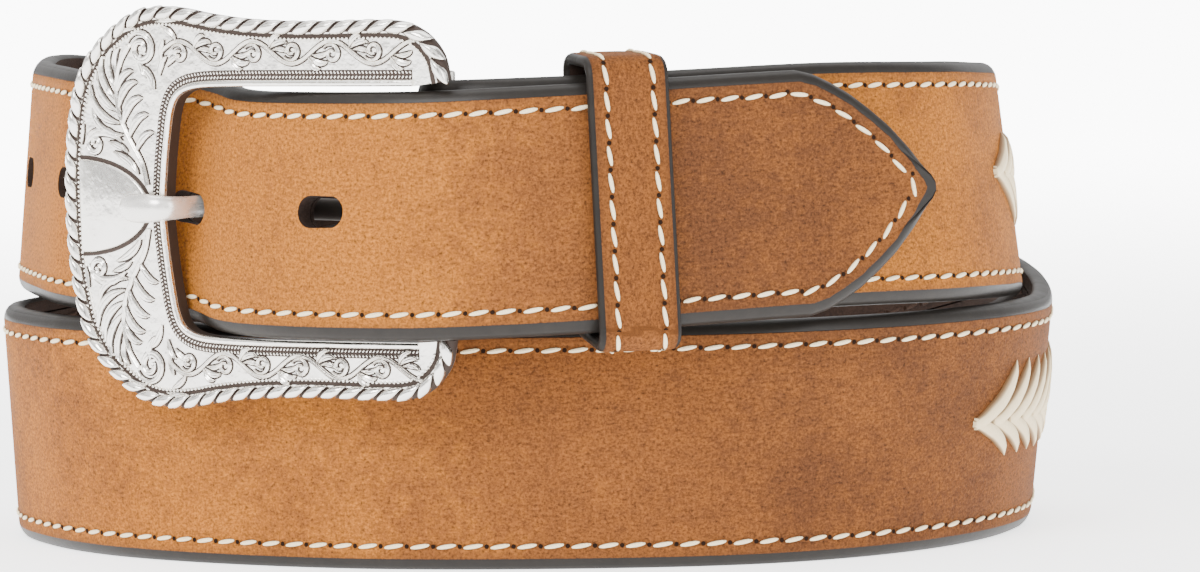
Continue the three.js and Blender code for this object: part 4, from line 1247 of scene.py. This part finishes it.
# A running vine along each arm, with a volute under every wave and small
# leaves fanned out where it crosses the middle.
ARM_MIDDLE = 24.25
ARM_WAVE = 1.75
ARM_UNIT = 7.2
ARM_FIRST = 49.0
ARM_UNITS = 6
VINE_HALF = 0.32
VINE_STEPS = 12

# radius, first angle and turn in degrees, half width, distance to the side
VOLUTE = (1.65, 30, 470, 0.42, 0.25)

# distance back and height from the fan's foot, then as for CORNER_LEAVES
FAN_BACK = 0.42
FAN = [(0.2, 0.8, 78, 3.0, -95, 0.45), (0.5, 0.7, 45, 3.3, -80, 0.5), (0.9, 0.4, 12, 3.0, -60, 0.42)]

waves = np.arange(ARM_UNITS * VINE_STEPS + VINE_STEPS // 2 + 1) / VINE_STEPS - 0.5
vine = np.stack([ARM_FIRST - ARM_UNIT * waves, ARM_MIDDLE + ARM_WAVE * np.cos(pi * waves)], -1)
both_halves(vine, VINE_HALF)
for i in range(ARM_UNITS):
    p = ARM_FIRST - ARM_UNIT * i
    side = 1 if i % 2 == 0 else -1
    radius, start, turn, half, aside = VOLUTE
    volute(p, ARM_MIDDLE - aside * side, radius, start * side, turn * side, half)
    for back, up, heading, length, turn, half in FAN:
        leaf_p = p - ARM_UNIT * FAN_BACK - back
        tendril(leaf_p, ARM_MIDDLE + up * side, 180 - heading * side, length, -turn * side, half)

bmesh.ops.recalc_face_normals(cast, faces=cast.faces[:])

antique_silver = Look("antique_silver")
tarnish_and_shade = antique_silver.kept("patina")
grain = antique_silver.on_object()
smudge = antique_silver.noise(grain, 180.0, 4.0)
fine = antique_silver.noise(grain, 1800.0, 3.0)
ripple = antique_silver.noise(grain, 430.0, 2.0)
level = antique_silver.axis(antique_silver.drawn(), "Z")
# Painted shade: the plate's side walls are darkened, added to the tarnish in its hollows.
walls = (1 - antique_silver.fade(level, -0.7, -0.2)) * antique_silver.fade(level, -2.48, -2.3)
tarnish_and_painted_shade = tarnish_and_shade + walls * 0.7 + (fine - 0.5) * 0.4 + (smudge - 0.5) * 0.4
darkened = antique_silver.fade(tarnish_and_painted_shade, 0.42, 0.8)
silver_tone = antique_silver.mix(smudge, tone(250, 247, 242), tone(232, 227, 219))
antique_silver.set(Base_Color=antique_silver.mix(darkened, silver_tone, tone(44, 29, 19)))
antique_silver.set(Metallic=1 - darkened * 0.85)
antique_silver.set(Roughness=0.13 + smudge * 0.16 + darkened * 0.45)
antique_silver.bump(smudge * 1.6 + ripple * 0.9 + fine * 0.25, 0.00016, 0.7)

cast_mesh = flat_mesh("buckle_casting", cast)
frame_piece = make_piece("buckle_casting", cast_mesh, bend, [antique_silver], 50.0, turned_over=True)
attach(frame_piece, "root")
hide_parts("buckle_frame")


# Heel bar: a plain round bar of the same silver across the bar end, soldered
# to short lugs on the backs of the two arms. The strap's end folds round it.
BAR_RADIUS = 1.7
BAR_OVER = 1.7
BAR_EASED = 0.4
LUG_EASED = 0.5

# x and y of the corners, lowest and highest z
LUGS = [
    (((-29.0, -8.8), (-24.3, -10.8), (-23.8, -1.6), (-27.6, -1.6)), 76.9, 81.6),
    (((-28.5, -8.7), (-23.8, -10.4), (-23.5, -5.0), (-27.3, -5.0)), 31.2, 35.9),
]
bar_at, bar_along, bar_rise, bar_face = [Vector(v[0]) for v in station(np.zeros(1))]
bar_centre = bar_at - bar_face * FOLD_OUTER

bm = bmesh.new()
bar_long = STRAP_WIDTH + 2 * BAR_OVER
bmesh.ops.create_cone(
    bm, cap_ends=True, segments=32, radius1=BAR_RADIUS, radius2=BAR_RADIUS, depth=bar_long,
)
ease(bm, [e for e in bm.edges if abs(e.verts[0].co.z - e.verts[1].co.z) < 0.1], BAR_EASED)
bar_middle = Matrix.Translation(bar_centre + bar_rise * (bar_long / 2 - BAR_OVER))
turn = bar_rise.to_track_quat("Z", "Y").to_matrix().to_4x4()
bmesh.ops.transform(bm, matrix=bar_middle @ turn, verts=bm.verts[:])
for corners, low, high in LUGS:
    face = bm.faces.new([bm.verts.new((x, y, low)) for x, y in corners])
    top = thicken(bm, [face], high - low)
    ease(bm, list({e for v in [*top, *face.verts] for e in v.link_edges}), LUG_EASED)
bmesh.ops.recalc_face_normals(bm, faces=bm.faces[:])
bar = make_piece("heel_bar", flat_mesh("heel_bar", bm), to_place, [antique_silver])
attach(bar, "root")


# Prong: forged from round bar, its eye curled round the heel bar. The shank
# runs behind the strap, comes out through the second hole and rests on the
# frame with a blunt, polished end.
PRONG_Z = 56.3

# The shank has come up from the eye's height to PRONG_Z by this row
PRONG_RISES = 5
#   x, y, half height, half depth
PRONG = [
    (-26.0, -4.3, 1.7, 1.15), (-37.0, 2.6, 1.7, 1.15), (-47.0, 9.2, 1.7, 1.1), (-53.4, 13.6, 1.7, 1.0),
    (-57.1, 18.1, 1.7, 1.0), (-59.9, 19.2, 1.7, 1.0), (-62.3, 17.7, 1.7, 1.0), (-64.0, 15.7, 1.7, 1.05),
    (-65.4, 13.7, 1.75, 1.1), (-67.3, 12.2, 1.9, 1.15), (-69.2, 12.3, 2.1, 1.2), (-71.4, 13.9, 2.35, 1.3),
    (-73.2, 15.6, 2.25, 1.25), (-74.2, 16.5, 1.75, 1.0), (-74.7, 17.0, 0.9, 0.5),
]
EYE_HOLE = 2.0
EYE_OUTER = 3.5
EYE_HALF = 2.4
EYE_ROUND = 0.5
EYE_LOWERED = 1.0

# Where the shank behind the strap is painted dark with shade, in metres across the belt
SHADED_FROM = -0.0475
SHADED_TO = -0.0445

prong_rows = np.array(PRONG)
shank = smooth_line(prong_rows[:, :2], 0.6)
run = np.linspace(0.0, 1.0, len(shank))
knots = run_along(prong_rows[:, :2])
knots /= knots[-1]
eye_centre = bar_centre + bar_rise * (STRAP_HALF - EYE_LOWERED)
level = np.interp(run, [0.0, knots[PRONG_RISES]], [eye_centre.z, PRONG_Z])
half_high = np.interp(run, knots, prong_rows[:, 2])
half_deep = np.interp(run, knots, prong_rows[:, 3])
way = way_of(shank)

bm = bmesh.new()
ring = bmesh.ops.create_circle(bm, cap_ends=True, segments=20, radius=1.0)["verts"]
unit = [v.co.copy() for v in ring]
edges = list({e for v in ring for e in v.link_edges})
for i, (x, y) in enumerate(shank):
    if i:
        ring, edges = next_ring(bm, edges)
    for v, (a, b, _) in zip(ring, unit):
        deep = half_deep[i] * a
        v.co = (x - way[i][1] * deep, y + way[i][0] * deep, level[i] + half_high[i] * b)
bmesh.ops.contextual_create(bm, geom=edges)

# The eye: a rounded band turned about the bar.
EYE_SECTION = [
    (EYE_HOLE, -EYE_HALF), (EYE_OUTER - EYE_ROUND, -EYE_HALF), (EYE_OUTER, EYE_ROUND - EYE_HALF),
    (EYE_OUTER, EYE_HALF - EYE_ROUND), (EYE_OUTER - EYE_ROUND, EYE_HALF), (EYE_HOLE, EYE_HALF),
]
verts, edges = closed_ring(bm, [eye_centre + bar_along * r + bar_rise * h for r, h in EYE_SECTION])
bmesh.ops.spin(
    bm, geom=[*verts, *edges], cent=eye_centre, axis=bar_rise, angle=tau, steps=32, use_merge=True,
)
bmesh.ops.recalc_face_normals(bm, faces=bm.faces[:])

bright_silver = Look("bright_silver", metallic=0.65)
grain = bright_silver.on_object()
lines = bright_silver.noise(bright_silver.drawn_out(grain, 0.2, 0.2, 2.0), 1500.0)
smudge = bright_silver.noise(grain, 200.0, 4.0)
# Painted shade: the shank goes dark brown where it runs behind the strap
shade_behind_strap = bright_silver.fade(bright_silver.axis(grain, "X"), SHADED_FROM, SHADED_TO)
silver_tone = bright_silver.mix(smudge, tone(250, 247, 242), tone(230, 225, 218))
bright_silver.set(Base_Color=bright_silver.mix(shade_behind_strap * 0.95, silver_tone, tone(40, 28, 20)))
bright_silver.set(Roughness=0.18 + smudge * 0.14 + lines * 0.06 + shade_behind_strap * 0.4)
bright_silver.bump(lines, 0.00003, 0.4)

prong = make_piece("prong_forging", flat_mesh("prong_forging", bm), to_place, [bright_silver])
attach(prong, "root")
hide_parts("prong")


# Lacing: flat ivory lace laid in chevrons side by side round each tier, every
# arm cut like a leaf, crossed at the point and tucked into the leather at its tip.
LACE_PITCH = 5.8
LACE_COUNT = 14
LACE_UNDER = 0.82
LACE_BASE = 0.02
#   along, height, half width, share of the full thickness
LACE_ARM = [
    (0.55, -0.3, 0.8, 0.6), (2.9, 0.5, 0.98, 0.92), (5.3, 1.6, 1.14, 1.0), (8.3, 3.1, 1.24, 1.0),
    (11.2, 5.4, 1.16, 0.95), (13.2, 7.6, 0.8, 0.7), (14.25, 9.25, 0.1, 0.12),
]
# The last value of each row darkens the lace's edges: painted shade where it meets the leather and the
# arm beside it.
LACE_CROWN = [
    (-1, 0, 0.3, 1), (-0.93, 0, 0.8, 0.7), (-0.78, 0, 1.06, 0.05), (0, 0, 1.16, 0), (0.78, 0, 1.06, 0.05),
    (0.93, 0, 0.8, 0.7), (1, 0, 0.3, 1),
]

# node, start, height of the points over the middle, then shares of length
# and height for the upper arms and for the lower arms, which lie under them
LACINGS = [
    ("lacing_upper", 112.5, 1.0, (0.8, 0.7), (0.96, 0.92)),
    ("lacing_lower", 571.5, 0.5, (1.0, 1.0), (0.84, 0.64)),
]


def lace_chevron(upper, lower):
    """One chevron with its point at the origin."""
    arm = np.array(LACE_ARM)
    knots = run_along(arm[:, :2])
    knots /= knots[-1]
    bm = bmesh.new()
    bm.verts.layers.float.new("patina")
    for side, (long, high), lifted in ((-1, lower, LACE_UNDER), (1, upper, 1.0)):
        line = smooth_line(arm[:, :2] * (long, high * side), 0.8)
        share = np.linspace(0.0, 1.0, len(line))
        widths = np.interp(share, knots, arm[:, 2])
        ribbon(bm, line, widths, LACE_CROWN, LACE_BASE, np.interp(share, knots, arm[:, 3]) * lifted)
    bmesh.ops.recalc_face_normals(bm, faces=bm.faces[:])
    return flat_mesh("chevron", bm)


ivory_lace = Look("ivory_lace", specular_ior_level=0.35)
drawn = ivory_lace.drawn()
painted_rim_shade = ivory_lace.kept("patina")
grain = ivory_lace.noise(drawn, 1.6, 4.0, 0.6)
creases = ivory_lace.noise(drawn, 6.0, 3.0, 0.6)
lace_tone = ivory_lace.mix(grain, tone(240, 222, 182), tone(226, 203, 158))
# Painted shade: the lace goes brown toward its edges
ivory_lace.set(Base_Color=ivory_lace.mix(painted_rim_shade * 0.95, lace_tone, tone(120, 84, 48)))
ivory_lace.set(Roughness=0.5 + grain * 0.2)
ivory_lace.bump(grain * 0.5 + creases * 0.5, 0.00012, 0.6)

for node, first, over, upper, lower in LACINGS:
    chevron = lace_chevron(upper, lower)
    starts = [first + LACE_PITCH * i for i in range(LACE_COUNT)]
    places = [Matrix.Translation((s, middle + over, 0.0)) for s in starts]
    name = node.replace("lacing", "lace")
    lace = make_piece(name, flat_mesh(name, repeat(chevron, places)), wrap, [ivory_lace], 60.0)
    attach(lace, "root")
    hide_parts(node)
